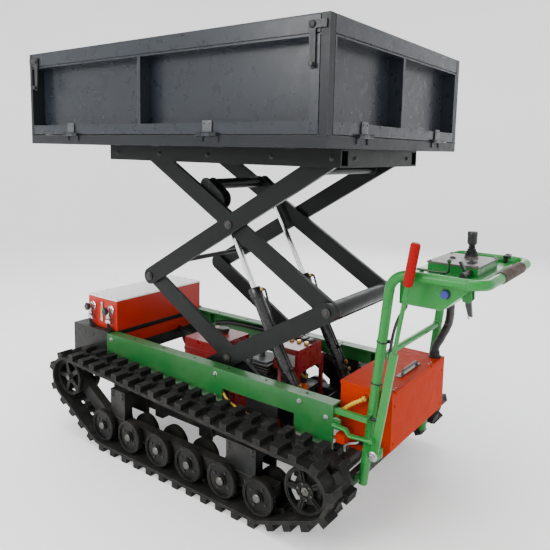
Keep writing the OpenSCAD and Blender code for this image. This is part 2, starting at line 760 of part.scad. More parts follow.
// a drop side in local axes: X along, outer face at Y = 0, foot at Z = 0
// a thin inner sheet with a box-section frame outside it; a slim stile fills x0 to d0
module panel(x0, x1, d0, bays) {
  h = bed_top - floor_z - 3;
  difference() {
    union() {
      if (x0 < d0) box([x0, -post, 0], [d0 - 0.2, 0, h]);
      box([d0, -panel_t, 0], [x1, 0, h]);
    }
    for (b = bays) box([b[0], -panel_t + 3, 36], [b[1], 1, h - 60]);
    box([x0 - 1, -5, h - 56], [x1 + 1, 1, h - 51]);
    // hollow of the two rails
    box([d0 + 3, -panel_t + 3, h - 57], [x1 - 3, -8, h - 3]);
    box([d0 + 3, -panel_t + 3, 3], [x1 - 3, -3, 33]);
  }
}
module side_panel() {
  x0 = bed_rear + post + 3;
  x1 = bed_front - end_t - 3;
  d0 = bed_rear + panel_t + 3;
  translate([0, bed_y, floor_z + 3]) panel(x0, x1, d0, [[d0 + 3, 227], [240, x1 + 1]]);
  for (x = side_hinges) on_side(x) leaf(90, 44);
}
module panel_left() { color([0.26, 0.29, 0.32]) side_panel(); }
module panel_right() { color([0.26, 0.29, 0.32]) mirror([0, 1, 0]) side_panel(); }
module panel_front() {
  y1 = bed_y - panel_t - 3;
  color([0.26, 0.29, 0.32]) {
    translate([bed_front, 0, floor_z + 3]) rotate(-90)
      panel(-y1, y1, -y1, [[-y1 + 12, -7], [8, y1 - 12]]);
    for (y = end_hinges) on_end(y, true) leaf(90, 44);
  }
}
module panel_rear() {
  y1 = bed_y - post - 3;
  color([0.26, 0.29, 0.32]) {
    translate([bed_rear, 0, floor_z + 3]) rotate(90)
      panel(-y1, y1, -y1, [[-y1 + 8, 12], [27, y1 - 9]]);
    for (y = end_hinges) on_end(y, false) leaf(90, 44);
  }
}
// latch on the outside of a side panel: tongue reaches over the corner post
module latch(x, s) {
  color([0.2, 0.21, 0.22]) translate([x, bed_y, bed_top - 30]) {
    plate(1, 6) polygon([[-10 * s, -11], [-10 * s, -118], [6 * s, -118], [14 * s, 0],
      [14 * s, 11], [-46 * s, 11], [-46 * s, -11]]);
    bar([0, 0], 7, 0, 9);
    bar([-2 * s, -108], 7, 5, 14);
  }
}
module latch_left_front() { latch(bed_front - end_t - 38, -1); }
module latch_left_rear() { latch(bed_rear + post + 25, 1); }
module latch_right_front() { mirror([0, 1, 0]) latch(bed_front - end_t - 38, -1); }
module latch_right_rear() { mirror([0, 1, 0]) latch(bed_rear + post + 25, 1); }

side_rails();
nose_box();
belly_frame();
base_channels();
track_frame_left();
track_frame_right();
track_left();
track_right();
rollers_left();
rollers_right();
idler_left();
idler_right();
sprocket_left();
sprocket_right();
drive_motors();
engine_block();
engine_shroud();
fuel_tank();
hydraulic_pump();
valve_box();
oil_tank();
oil_tank_lid();
tank_valves();
valve_knob_front();
valve_knob_rear();
battery_box();
battery_lid();
lid_handle();
handle_left();
handle_right();
grip_bar();
hand_grip();
control_box();
console_plate();
joystick();
stop_button();
speed_lever();
throttle_lever();
brake_lever();
drive_lever();
lever_grip();
drive_link();
wiring_loom();
hydraulic_hoses();
lower_arms_inner();
lower_arms_outer();
upper_arms_outer();
upper_arms_inner();
cylinder_barrels();
cylinder_rods();
subframe();
bed_floor();
panel_left();
panel_right();
panel_front();
panel_rear();
latch_left_front();
latch_left_rear();
latch_right_front();
latch_right_rear();
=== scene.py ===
# Looks for the tracked mini dumper: materials, small parts, floor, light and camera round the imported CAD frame.
import json
import math

import bmesh
import bpy
from mathutils import Matrix, Vector


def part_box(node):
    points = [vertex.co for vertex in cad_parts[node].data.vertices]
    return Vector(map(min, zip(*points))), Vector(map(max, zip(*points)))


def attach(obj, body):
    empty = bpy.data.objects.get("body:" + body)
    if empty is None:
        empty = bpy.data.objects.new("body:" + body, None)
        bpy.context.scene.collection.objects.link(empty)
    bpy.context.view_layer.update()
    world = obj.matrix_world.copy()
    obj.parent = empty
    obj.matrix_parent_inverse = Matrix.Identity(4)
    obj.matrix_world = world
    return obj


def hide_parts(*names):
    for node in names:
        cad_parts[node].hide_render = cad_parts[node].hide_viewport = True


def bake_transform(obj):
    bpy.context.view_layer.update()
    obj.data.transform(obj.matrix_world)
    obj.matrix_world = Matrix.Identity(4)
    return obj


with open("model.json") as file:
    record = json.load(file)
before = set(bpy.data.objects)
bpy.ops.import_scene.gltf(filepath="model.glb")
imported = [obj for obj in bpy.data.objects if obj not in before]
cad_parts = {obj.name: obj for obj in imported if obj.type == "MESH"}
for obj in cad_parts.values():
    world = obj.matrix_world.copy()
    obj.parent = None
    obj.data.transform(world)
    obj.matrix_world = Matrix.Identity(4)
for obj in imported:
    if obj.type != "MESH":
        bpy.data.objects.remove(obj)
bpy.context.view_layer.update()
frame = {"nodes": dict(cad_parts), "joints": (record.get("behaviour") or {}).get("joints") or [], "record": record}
nodes = frame["nodes"]
joints = {j["name"]: j for j in frame["joints"]}
record = frame["record"]


def new_object(name, data):
    made = bpy.data.objects.new(name, data)
    bpy.context.scene.collection.objects.link(made)
    return made


# ---------------------------------------------------------------- camera
def make_camera():
    yaw, pitch, roll = math.radians(-53.639), math.radians(-6.964), math.radians(1.159)
    ahead = Vector((math.cos(pitch) * math.cos(yaw), math.cos(pitch) * math.sin(yaw), math.sin(pitch)))
    right = Vector((math.sin(yaw), -math.cos(yaw), 0.0))
    up = right.cross(ahead)
    right_r = right * math.cos(roll) + up * math.sin(roll)
    up_r = up * math.cos(roll) - right * math.sin(roll)
    data = bpy.data.cameras.new("camera")
    cam = new_object("camera", data)
    turn = Matrix((right_r, up_r, -ahead)).transposed().to_4x4()
    cam.matrix_world = Matrix.Translation((-1.409, 1.881, 1.255)) @ turn
    data.sensor_width = 36.0
    data.lens = 38.06
    data.shift_x = -0.0076
    data.shift_y = -0.0968
    data.clip_start, data.clip_end = 0.05, 60.0
    bpy.context.scene.camera = cam


make_camera()


# ---------------------------------------------------------------- material nodes
class Net:
    """A small helper for building one material's node tree."""

    def __init__(self, name, colour):
        self.mat = bpy.data.materials.new(name)
        self.mat.use_nodes = True
        self.mat.diffuse_color = (*colour, 1.0)
        self.tree = self.mat.node_tree
        self.tree.nodes.clear()
        out = self.tree.nodes.new("ShaderNodeOutputMaterial")
        self.bsdf = self.tree.nodes.new("ShaderNodeBsdfPrincipled")
        self.bsdf.inputs["Base Color"].default_value = (*colour, 1.0)
        self.tree.links.new(self.bsdf.outputs[0], out.inputs[0])
        self.coords = self.add("ShaderNodeTexCoord").outputs["Object"]

    def add(self, kind, links=(), **settings):
        node = self.tree.nodes.new(kind)
        for key, value in settings.items():
            setattr(node, key, value)
        for socket, value in links:
            self.put(node.inputs[socket], value)
        return node

    def put(self, socket, value):
        if isinstance(value, bpy.types.NodeSocket):
            self.tree.links.new(value, socket)
        elif isinstance(value, tuple) and len(value) == 3 and socket.type == "RGBA":
            socket.default_value = (*value, 1.0)
        else:
            socket.default_value = value

    def noise(self, scale, detail=4.0, rough=0.5, stretch=None, distortion=0.0):
        where = self.coords
        if stretch:
            where = self.add("ShaderNodeMapping", [(0, where), (3, stretch)]).outputs[0]
        made = self.add("ShaderNodeTexNoise", [("Vector", where), ("Scale", scale), ("Detail", detail),
                                               ("Roughness", rough), ("Distortion", distortion)])
        return made.outputs["Fac"]

    def span(self, value, lo, hi, a=0.0, b=1.0):
        """value from lo..hi stretched to a..b, clamped."""
        return self.add("ShaderNodeMapRange", [(0, value), (1, lo), (2, hi), (3, a), (4, b)]).outputs[0]

    def math(self, kind, a, b):
        return self.add("ShaderNodeMath", [(0, a), (1, b)], operation=kind).outputs[0]

    def times(self, a, b):
        return self.math("MULTIPLY", a, b)

    def plus(self, a, b):
        return self.math("ADD", a, b)

    def mix(self, share, a, b):
        node = self.add("ShaderNodeMix", data_type="RGBA")
        self.put(node.inputs[0], share)
        self.put(node.inputs[6], a)
        self.put(node.inputs[7], b)
        return node.outputs[2]

    def edges(self, radius, soft=0.25):
        """1 on sharp edges, 0 on flats, from a bevelled normal."""
        bevel = self.add("ShaderNodeBevel", [(0, radius)], samples=4).outputs[0]
        flat = self.add("ShaderNodeNewGeometry").outputs["Normal"]
        dot = self.add("ShaderNodeVectorMath", [(0, bevel), (1, flat)], operation="DOT_PRODUCT").outputs["Value"]
        return self.span(dot, 1.0, 1.0 - soft)

    def facing_up(self):
        """1 on faces that look up in the piece's own axes."""
        normal = self.add("ShaderNodeTexCoord").outputs["Normal"]
        z = self.add("ShaderNodeSeparateXYZ", [(0, normal)]).outputs[2]
        return self.span(z, 0.35, 0.95)

    def height(self, lo, hi):
        """1 below lo, 0 above hi, in metres above the ground at rest."""
        z = self.add("ShaderNodeSeparateXYZ", [(0, self.coords)]).outputs[2]
        return self.span(z, lo, hi, 1.0, 0.0)

    def bump(self, height, distance, strength=1.0):
        normal = self.add("ShaderNodeBump", [("Strength", strength), ("Distance", distance), ("Height", height)])
        self.put(self.bsdf.inputs["Normal"], normal.outputs[0])
        return normal

    def set(self, **values):
        for key, value in values.items():
            self.put(self.bsdf.inputs[key.replace("_", " ")], value)


def shade(colour, k):
    return tuple(min(1.0, c * k) for c in colour)


DUST = (0.30, 0.265, 0.215)


def paint(name, colour, rough=0.35, wear=0.5, bare=(0.30, 0.30, 0.30), dust=0.3, tone=0.14, peel=0.00012, coat=0.25,
        scratch=0.25, metallic=0.0, shine=0.38):
    """Sprayed enamel on steel: soft tone changes, orange peel, rubbed edges, hairline scratches and settled dust."""
    net = Net(name, colour)
    broad = net.noise(2.4, 3.0)
    blotch = net.noise(14.0, 5.0, 0.6)
    base = net.mix(net.span(broad, 0.3, 0.7), shade(colour, 1.0 - tone), shade(colour, 1.0 + tone))
    base = net.mix(net.span(blotch, 0.42, 0.75, 0.0, 0.35), base, shade(colour, 0.8))
    hair = net.noise(34.0, 2.0, 0.5, (1.0, 1.0, 40.0), 0.15)
    hair = net.times(net.span(hair, 0.70, 0.74), scratch)
    base = net.mix(hair, base, shade(bare, 1.1))
    chips = net.span(net.noise(70.0, 5.0, 0.65), 0.5, 0.62)
    rub = net.times(net.edges(0.0035), net.plus(net.times(chips, 0.75), 0.2))
    rub = net.times(rub, wear)
    base = net.mix(rub, base, bare)
    settle = net.times(net.facing_up(), net.span(net.noise(6.0, 5.0, 0.62), 0.38, 0.7))
    low = net.times(net.height(0.10, 0.75), net.span(net.noise(9.0, 6.0, 0.7), 0.46, 0.78))
    dirt = net.math("MINIMUM", net.times(net.plus(net.times(settle, 0.7), low), dust), 0.8)
    base = net.mix(dirt, base, DUST)
    gloss = net.span(net.noise(30.0, 4.0), 0.3, 0.7, rough - 0.06, rough + 0.08)
    gloss = net.plus(gloss, net.times(dirt, 0.5))
    net.set(Base_Color=base, Roughness=gloss, Metallic=metallic, Coat_Weight=coat, Coat_Roughness=0.18,
            Specular_IOR_Level=shine)
    net.bump(net.plus(net.noise(420.0, 2.0), net.times(net.noise(40.0, 3.0), 2.0)), peel)
    return net.mat


def rubber(name, colour, rough=0.72, grit=0.0006, dust=0.55, scuff_and_highlight=(0.12, 0.115, 0.105)):
    """Moulded rubber: fine grain, grey edges that are partly scuffing and partly a painted highlight, and dry soil in
    the hollows.
    """
    net = Net(name, colour)
    base = net.mix(net.span(net.noise(7.0, 5.0, 0.6), 0.3, 0.7), shade(colour, 0.7), shade(colour, 1.35))
    # lighter grey on sharp edges: partly real scuffing, partly a painted highlight where light would catch the lug
    # edges
    scuffs_and_highlights = net.times(net.edges(0.005, 0.35), net.span(net.noise(55.0, 5.0, 0.7), 0.38, 0.62))
    base = net.mix(scuffs_and_highlights, base, scuff_and_highlight)
    soil = net.times(net.span(net.noise(20.0, 6.0, 0.7), 0.52, 0.8), dust)
    base = net.mix(soil, base, (0.16, 0.14, 0.115))
    gloss = net.span(net.noise(34.0, 4.0), 0.3, 0.7, rough - 0.14, rough + 0.1)
    net.set(Base_Color=base, Roughness=gloss, Specular_IOR_Level=0.22)
    grain = net.plus(net.noise(160.0, 4.0, 0.6), net.times(net.noise(28.0, 4.0), 1.6))
    net.bump(grain, grit)
    return net.mat


def metal(name, colour, rough=0.3, grain=(1.0, 1.0, 1.0), grit=0.0001, stain=(0.12, 0.09, 0.06), dirt=0.3,
        metallic=1.0):
    """Bare or plated metal: fine machining lines, tarnish in patches, rubbed edges."""
    net = Net(name, colour)
    base = net.mix(net.span(net.noise(5.0, 4.0), 0.3, 0.7), shade(colour, 0.82), shade(colour, 1.08))
    patches = net.times(net.span(net.noise(32.0, 6.0, 0.7), 0.52, 0.74), dirt)
    base = net.mix(patches, base, stain)
    base = net.mix(net.times(net.edges(0.002), 0.4), base, shade(colour, 1.25))
    lines = net.noise(120.0, 3.0, 0.5, grain)
    gloss = net.span(lines, 0.3, 0.7, rough * 0.75, rough * 1.3)
    gloss = net.plus(gloss, net.times(patches, 0.35))
    net.set(Base_Color=base, Metallic=metallic, Roughness=gloss)
    net.bump(lines, grit)
    return net.mat


def plastic(name, colour, rough=0.4, grit=0.00025, scale=260.0, dust=0.2, shine=0.5):
    """Moulded plastic with a fine spark texture and handling marks."""
    net = Net(name, colour)
    base = net.mix(net.span(net.noise(6.0, 4.0), 0.3, 0.7), shade(colour, 0.85), shade(colour, 1.12))
    marks = net.times(net.span(net.noise(24.0, 6.0, 0.7), 0.55, 0.75), dust)
    base = net.mix(marks, base, DUST)
    base = net.mix(net.times(net.edges(0.0015), 0.35), base, shade(colour, 1.6))
    gloss = net.span(net.noise(45.0, 3.0), 0.3, 0.7, rough - 0.08, rough + 0.1)
    net.set(Base_Color=base, Roughness=gloss, Specular_IOR_Level=shine)
    net.bump(net.noise(scale, 2.0), grit)
    return net.mat


BLACK_EDGE = (0.07, 0.07, 0.07)
mats = {
    "frame_green": paint("paint_green", (0.009, 0.120, 0.021), 0.36, wear=0.45, dust=0.16, tone=0.1, coat=0.12),
    "frame_black": paint("paint_chassis_black", (0.0075, 0.008, 0.008), 0.45, wear=0.35, dust=0.12, bare=BLACK_EDGE,
        coat=0.05, shine=0.2),
    "track_rubber": rubber("track_rubber", (0.0065, 0.0065, 0.006), dust=0.22, scuff_and_highlight=(0.055, 0.055, 0.052)),
    "wheel_steel": paint("wheel_black", (0.0045, 0.005, 0.0045), 0.42, wear=0.4, bare=(0.045, 0.045, 0.043),
        dust=0.07, coat=0.03, shine=0.14),
    "motor_black": paint("motor_black", (0.009, 0.009, 0.009), 0.45, wear=0.3, dust=0.15, bare=BLACK_EDGE, coat=0.05,
        shine=0.2),
    "engine_alloy": metal("engine_alloy", (0.20, 0.205, 0.21), 0.5, grit=0.0004, dirt=0.6, metallic=0.8),
    "shroud_red": paint("shroud_red", (0.24, 0.006, 0.010), 0.28, wear=0.2, dust=0.12, coat=0.3),
    "pump_alloy": metal("pump_alloy", (0.09, 0.092, 0.095), 0.48, grit=0.0003, dirt=0.6, metallic=0.7),
    "tank_orange": paint("paint_orange", (0.40, 0.0105, 0.0008), 0.38, wear=0.2, dust=0.03, tone=0.06,
        bare=(0.25, 0.04, 0.015), coat=0.05, scratch=0.05, shine=0.3),
    "lid_white": paint("paint_white", (0.90, 0.90, 0.89), 0.32, wear=0.12, dust=0.05, tone=0.02, scratch=0.1),
    "fitting_steel": metal("fitting_steel", (0.55, 0.55, 0.56), 0.22, dirt=0.25),
    "knob_black": plastic("knob_black", (0.007, 0.007, 0.008), 0.38, dust=0.08),
    "handle_green": paint("paint_light_green", (0.014, 0.185, 0.030), 0.3, wear=0.25, dust=0.03, tone=0.08,
        coat=0.12, scratch=0.1, shine=0.22),
    "grip_rubber": rubber("grip_rubber", (0.040, 0.022, 0.016), 0.6, 0.0008, 0.1, (0.17, 0.12, 0.10)),
    "plate_grey": metal("plate_grey", (0.085, 0.078, 0.072), 0.45, (1.0, 30.0, 1.0), dirt=0.3, metallic=0.3),
    "button_blue": plastic("button_blue", (0.008, 0.012, 0.22), 0.25, dust=0.05),
    "rod_dark": paint("rod_dark_green", (0.006, 0.05, 0.012), 0.3, wear=0.3, dust=0.05),
    "grip_red": plastic("grip_red", (0.27, 0.002, 0.003), 0.36, dust=0.02, shine=0.1),
    "loom_black": plastic("loom_black", (0.006, 0.006, 0.0065), 0.42, dust=0.06),
    "hose_yellow": plastic("hose_yellow", (0.55, 0.33, 0.012), 0.4, dust=0.1),
    "lift_black": paint("paint_lift_black", (0.0050, 0.0060, 0.0060), 0.36, wear=0.4, bare=(0.085, 0.09, 0.085),
        dust=0.03, scratch=0.05, coat=0.04, shine=0.16),
    "barrel_black": paint("paint_barrel", (0.006, 0.006, 0.0065), 0.25, wear=0.3, bare=BLACK_EDGE, dust=0.04,
        coat=0.3),
    "rod_chrome": metal("rod_chrome", (0.80, 0.80, 0.82), 0.1, (1.0, 1.0, 40.0), 0.00003, dirt=0.1),
    "bed_steel": paint("paint_bed_floor", (0.009, 0.011, 0.013), 0.38, wear=0.4, bare=(0.12, 0.13, 0.14), dust=0.05,
        scratch=0.03, coat=0.05, shine=0.2),
    "bed_alloy": paint("paint_bed_side", (0.0125, 0.0165, 0.0225), 0.30, wear=0.3, bare=(0.10, 0.11, 0.12),
        dust=0.02, scratch=0.0, coat=0.12, tone=0.12, shine=0.3),
    "latch_steel": metal("latch_steel", (0.026, 0.028, 0.030), 0.42, dirt=0.4, metallic=0.6),
}
box_orange = paint("paint_box_orange", (0.38, 0.021, 0.0004), 0.5, wear=0.15, dust=0.01, tone=0.05,
    bare=(0.22, 0.03, 0.008), coat=0.0, scratch=0.0, shine=0.03)
worn_steel = paint("worn_hinge_steel", (0.055, 0.060, 0.064), 0.4, wear=0.8, bare=(0.30, 0.31, 0.32), dust=0.1,
    coat=0.05)
brass = metal("brass_fitting", (0.62, 0.42, 0.14), 0.28, dirt=0.3)
zinc = metal("zinc_bolt", (0.40, 0.40, 0.39), 0.36, dirt=0.5)
worn_cap = metal("worn_cap_steel", (0.115, 0.115, 0.11), 0.4, dirt=0.6)
black_bolt = metal("black_bolt", (0.04, 0.04, 0.04), 0.42, dirt=0.4, metallic=0.8)
weld_black = paint("weld_black", (0.010, 0.011, 0.011), 0.4, wear=0.5, bare=(0.10, 0.10, 0.10), dust=0.08, coat=0.05)
weld_green = paint("weld_green", (0.016, 0.19, 0.034), 0.35, wear=0.3, dust=0.08)
hose_black = rubber("hose_black", (0.007, 0.007, 0.007), 0.5, 0.0003, 0.12, (0.05, 0.05, 0.05))
exhaust = metal("exhaust_steel", (0.12, 0.10, 0.09), 0.6, dirt=0.8, metallic=0.7)
orange_plastic = plastic("orange_plastic", (0.65, 0.10, 0.005), 0.35, dust=0.1)
label_pale = plastic("blank_plate", (0.50, 0.48, 0.46), 0.4)

# the slot that each of these looks fills, unless its piece says another
fills = {box_orange: "tank_orange", worn_steel: "latch_steel", brass: "fitting_steel", zinc: "fitting_steel",
    worn_cap: "fitting_steel", black_bolt: "lift_black", weld_black: "frame_black", weld_green: "handle_green",
    hose_black: "loom_black", exhaust: "engine_alloy", orange_plastic: "tank_orange", label_pale: "lid_white"}

for row in record["subparts"]:
    piece = nodes[row["node"]]
    piece.data.materials.clear()
    boxed = row["node"] in ("battery_box", "battery_lid")
    piece.data.materials.append(box_orange if boxed else mats[row["material_slot"]])


# ---------------------------------------------------------------- mesh building
class Shape:
    """Collects solids into one mesh. Every solid is closed."""

    def __init__(self):
        self.bm = bmesh.new()

    def ring(self, centre, side, up, radius, count, turn=0.0):
        made = []
        for k in range(count):
            a = turn + 2 * math.pi * k / count
            made.append(self.bm.verts.new(centre + side * (radius * math.cos(a)) + up * (radius * math.sin(a))))
        return made

    def skin(self, rings, close=True):
        for a, b in zip(rings, rings[1:]):
            n = len(a)
            for k in range(n):
                self.bm.faces.new((a[k], a[(k + 1) % n], b[(k + 1) % n], b[k]))
        if close:
            self.bm.faces.new(list(reversed(rings[0])))
            self.bm.faces.new(rings[-1])
        return self

    def lathe(self, base, axis, profile, count=24, turn=0.0):
        """Revolves (radius, height) steps about an axis that starts at base."""
        axis = Vector(axis).normalized()
        side = axis.orthogonal().normalized()
        up = axis.cross(side)
        base = Vector(base)
        rings = [self.ring(base + axis * h, side, up, r, count, turn) for r, h in profile]
        return self.skin(rings)

    def stub(self, at, axis, r, h, r_top, h_top, count=24, base=0.0):
        """A straight turning of radius r from base to h, chamfered to r_top at h_top."""
        return self.lathe(at, axis, [(r, base), (r, h), (r_top, h_top)], count)

    def tube(self, points, radius, count=12):
        """A round bar or hose along points. radius is a number or a function of the length so far."""
        pts = [Vector(p) for p in points]
        ahead = [(pts[min(i + 1, len(pts) - 1)] - pts[max(i - 1, 0)]).normalized() for i in range(len(pts))]
        side = ahead[0].orthogonal().normalized()
        rings, run = [], 0.0
        for i, p in enumerate(pts):
            if i:
                run += (p - pts[i - 1]).length
            side = (side - ahead[i] * side.dot(ahead[i])).normalized()
            r = radius(run) if callable(radius) else radius
            rings.append(self.ring(p, side, ahead[i].cross(side), r, count))
        return self.skin(rings)

    def hoop(self, centre, axis, radius, thick, count=40, sides=8, ripple=0.0, waves=20):
        """A closed ring of round section, rippled like a weld bead if asked."""
        axis = Vector(axis).normalized()
        a = axis.orthogonal().normalized()
        b = axis.cross(a)
        centre = Vector(centre)
        rings = []
        for k in range(count):
            w = 2 * math.pi * k / count
            out = a * math.cos(w) + b * math.sin(w)
            t = thick * (1.0 + ripple * math.sin(waves * w))
            rings.append(self.ring(centre + out * radius, out, axis, t, sides))
        for i in range(count):
            p, q = rings[i], rings[(i + 1) % count]
            for k in range(sides):
                self.bm.faces.new((p[k], p[(k + 1) % sides], q[(k + 1) % sides], q[k]))
        return self

    def box(self, lo, hi, bevel=0.0015):
        lo, hi = Vector(lo), Vector(hi)
        made = bmesh.ops.create_cube(self.bm, size=1.0)["verts"]
        for v in made:
            v.co = Vector(((v.co.x + 0.5) * (hi.x - lo.x) + lo.x, (v.co.y + 0.5) * (hi.y - lo.y) + lo.y,
                    (v.co.z + 0.5) * (hi.z - lo.z) + lo.z))
        if bevel:
            edges = list({e for v in made for e in v.link_edges})
            bmesh.ops.bevel(self.bm, geom=edges, offset=bevel, segments=2, affect="EDGES", profile=0.6)
        return self

    def bolt(self, at, axis, r=0.007, h=0.005, washer=True, turn=0.2):
        """A hex head with a chamfered top on a round washer."""
        base = 0.0
        if washer:
            self.lathe(at, axis, [(r * 1.45, 0.0), (r * 1.45, 0.0011), (r * 1.3, 0.0016)], 20)
            base = 0.0014
        self.lathe(at, axis, [(r, base), (r, base + h * 0.75), (r * 0.84, base + h)], 6, turn)
        tip = Vector(at) + Vector(axis).normalized() * (base + h)
        self.lathe(tip - Vector(axis).normalized() * 0.0004, axis, [(r * 0.55, 0.0), (r * 0.55, 0.0006),
                (r * 0.42, 0.0010)], 14)
        return self

    def rivet(self, at, axis, r=0.004, h=0.002):
        self.lathe(at, axis, [(r, 0.0), (r * 0.95, h * 0.45), (r * 0.7, h * 0.85), (r * 0.3, h)], 12)
        return self

    def bead(self, points, r=0.003, step=0.004):
        """A rippled weld bead along straight runs between points."""
        pts = []
        for a, b in zip(points, points[1:]):
            a, b = Vector(a), Vector(b)
            n = max(2, int((b - a).length / (step * 0.5)))
            pts += [a.lerp(b, k / n) for k in range(n)]
        pts.append(Vector(points[-1]))
        return self.tube(pts, lambda s: r * (1.0 + 0.16 * math.sin(2 * math.pi * s / step)), 8)

    def done(self, name, look, body="chassis", slot=None, smooth=35.0):
        """Ends the piece. look is a material, or the name of a CAD slot whose material it takes."""
        if isinstance(look, str):
            look, slot = mats[look], look
        slot = slot or fills[look]
        bmesh.ops.recalc_face_normals(self.bm, faces=self.bm.faces[:])
        mesh = bpy.data.meshes.new(name)
        self.bm.to_mesh(mesh)
        self.bm.free()
        mesh.shade_smooth()
        mesh.set_sharp_from_angle(angle=math.radians(smooth))
        mesh.materials.append(look)
        made = new_object(name, mesh)
        if body:
            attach(made, body)
        return made


def curve(points, steps=6):
    """A smooth curve through the points."""
    p = [Vector(q) for q in points]
    made = []
    for i in range(len(p) - 1):
        a, b, c, d = p[max(i - 1, 0)], p[i], p[i + 1], p[min(i + 2, len(p) - 1)]
        for k in range(steps):
            u = k / steps
            made.append(0.5 * (2 * b + (c - a) * u + (2 * a - 5 * b + 4 * c - d) * u * u
                               + (3 * b - a - 3 * c + d) * u ** 3))
    made.append(p[-1])
    return made


def mm(points):
    return [Vector(p) * 0.001 for p in points]


SIDES = (1.0, -1.0)

# places that the CAD fixes, read from the frame
rail_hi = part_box("side_rails")[1]
roll_lo, roll_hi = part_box("rollers_left")
tank_lo, tank_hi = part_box("oil_tank")
lid_lo, lid_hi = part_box("oil_tank_lid")
batt_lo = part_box("battery_box")[0]
bed_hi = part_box("bed_floor")[1]
side_lo, side_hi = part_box("panel_left")
sub_lo, sub_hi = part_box("subframe")
nose_lo, nose_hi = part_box("nose_box")
rail_y = rail_hi.y

# measures of the CAD that several pieces share
TRACK_MID = 0.394       # middle of a track, from the machine's middle
HANGER_FACE = 0.414     # outer face of the track frames' hanger plates
CONSOLE_SIDE = 0.2088   # side walls of the control box
HANDLE_Y = 0.245        # side tubes of the handle
GRIP_Z = 0.885          # height of the grip bar
CYLINDER_Y = 0.169      # the two lift cylinders
ARM_OUTSIDE = 0.2343    # outer faces of the outer arms, with washer room
BED_FLOOR = 1.3006      # foot of the drop sides
TOP_EYE = Vector((0.146371, 0.0, 1.060744))     # upper eyes of the cylinders


def place(joint):
    return Vector(joints[joint]["pos_m"])


def around(c, r, a, y):
    """A point on the circle of radius r about the Y axis through c, at angle a."""
    return c.x + r * math.cos(a), y, c.z + r * math.sin(a)


# ---------------------------------------------------------------- tracks and wheels
def running_gear():
    first = roll_lo.x + 0.065
    pitch = (roll_hi.x - roll_lo.x - 0.130) / 5
    z = (roll_lo.z + roll_hi.z) / 2
    for s, word in zip(SIDES, ("left", "right")):
        caps, rims, bolts = Shape(), Shape(), Shape()
        for i in range(6):
            x = first + pitch * i
            for out in (1, -1):
                face = s * (TRACK_MID + out * 0.054)
                axis = (0, s * out, 0)
                tip = s * (TRACK_MID + out * 0.060)
                caps.lathe((x, tip, z), axis, [(0.0155, -0.0052), (0.0155, 0.0005), (0.0125, 0.0035),
                        (0.006, 0.0048)], 24)
                rims.hoop((x, face, z), axis, 0.0605, 0.0022, 48, 8)
                for k in range(4):
                    a = math.pi / 2 * k + 0.5
                    at = (x + 0.036 * math.cos(a), face - s * out * 0.005, z + 0.036 * math.sin(a))
                    bolts.bolt(at, axis, 0.0055, 0.0035, False, a)
        caps.done("roller_caps_" + word, worn_cap, slot="wheel_steel")
        rims.done("roller_rims_" + word, "wheel_steel")
        bolts.done("roller_bolts_" + word, black_bolt, slot="wheel_steel")

        # sprocket hub: ring of bolts and a rim bead, both turn with it
        c = place(f"sprocket_{word}_spin")
        hub, studs = Shape(), Shape()
        face = s * (TRACK_MID + 0.054)
        hub.hoop((c.x, face, c.z), (0, s, 0), 0.0735, 0.0028, 56, 8)
        hub.hoop((c.x, face, c.z), (0, s, 0), 0.0300, 0.0020, 40, 8)
        for k in range(5):
            a = 2 * math.pi * k / 5
            arm = Vector((math.cos(a), 0, math.sin(a)))
            hub.bead([Vector((c.x, face, c.z)) + arm * 0.034, Vector((c.x, face, c.z)) + arm * 0.066], 0.0022, 0.006)
        for k in range(6):
            a = math.pi / 3 * k + 0.2
            studs.bolt(around(c, 0.0255, a, face), (0, s, 0), 0.0042, 0.004, False, a)
        hub.done("sprocket_trim_" + word, "wheel_steel", "sprocket_" + word)
        studs.done("sprocket_studs_" + word, worn_cap, "sprocket_" + word, "wheel_steel")
        nut = Shape().stub((c.x, s * 0.4435, c.z), (0, s, 0), 0.015, 0.006, 0.012, 0.0075, 6)
        nut.stub((c.x, s * 0.4505, c.z), (0, s, 0), 0.007, 0.003, 0.005, 0.004, 16)
        nut.done("motor_nut_" + word, worn_cap)

        # idler hub
        c = place(f"idler_{word}_spin")
        hub = Shape()
        face = s * (TRACK_MID + 0.052)
        hub.hoop((c.x, face, c.z), (0, s, 0), 0.0735, 0.0024, 56, 8)
        for k in range(6):
            a = math.pi / 3 * k
            hub.bolt(around(c, 0.0205, a, face), (0, s, 0), 0.0032, 0.003, False, a)
        hub.done("idler_trim_" + word, "wheel_steel", "idler_" + word)
        nut = Shape().stub((c.x, s * 0.4475, c.z), (0, s, 0), 0.0125, 0.006, 0.010, 0.0075, 6)
        nut.done("idler_nut_" + word, worn_cap)

        # track frame: bolts on the hanger plates and the tensioner screw
        gear = Shape()
        for x in (0.455, 0.515):
            for up in (0.228, 0.243):
                gear.bolt((x, s * HANGER_FACE, up), (0, s, 0), 0.006, 0.004)
        for x in (-0.235, -0.13):
            for up in (0.213, 0.228):
                gear.bolt((x, s * HANGER_FACE, up), (0, s, 0), 0.006, 0.004)
        for k in range(5):
            gear.rivet((first + pitch * (k + 0.5), s * HANGER_FACE, 0.112), (0, s, 0), 0.006, 0.003)
        gear.tube([(0.60, s * TRACK_MID, 0.150), (0.70, s * TRACK_MID, 0.215)], 0.0105, 14)
        gear.stub((0.640, s * TRACK_MID, 0.176), (0.84, 0, 0.55), 0.017, 0.014, 0.015, 0.016, 6)
        gear.done("track_frame_bolts_" + word, black_bolt, slot="frame_black")

        welds = Shape()
        runs = ((0.440, 0.530, 0.4125, 0.1385), (-0.250, -0.115, 0.4125, 0.1385),
                (0.440, 0.530, rail_y + 0.001, 0.2555), (-0.250, -0.115, rail_y + 0.001, 0.2405))
        for x0, x1, y, up in runs:
            welds.bead([(x0, s * y, up), (x1, s * y, up)], 0.0028)
        welds.done("track_frame_welds_" + word, weld_black)


running_gear()


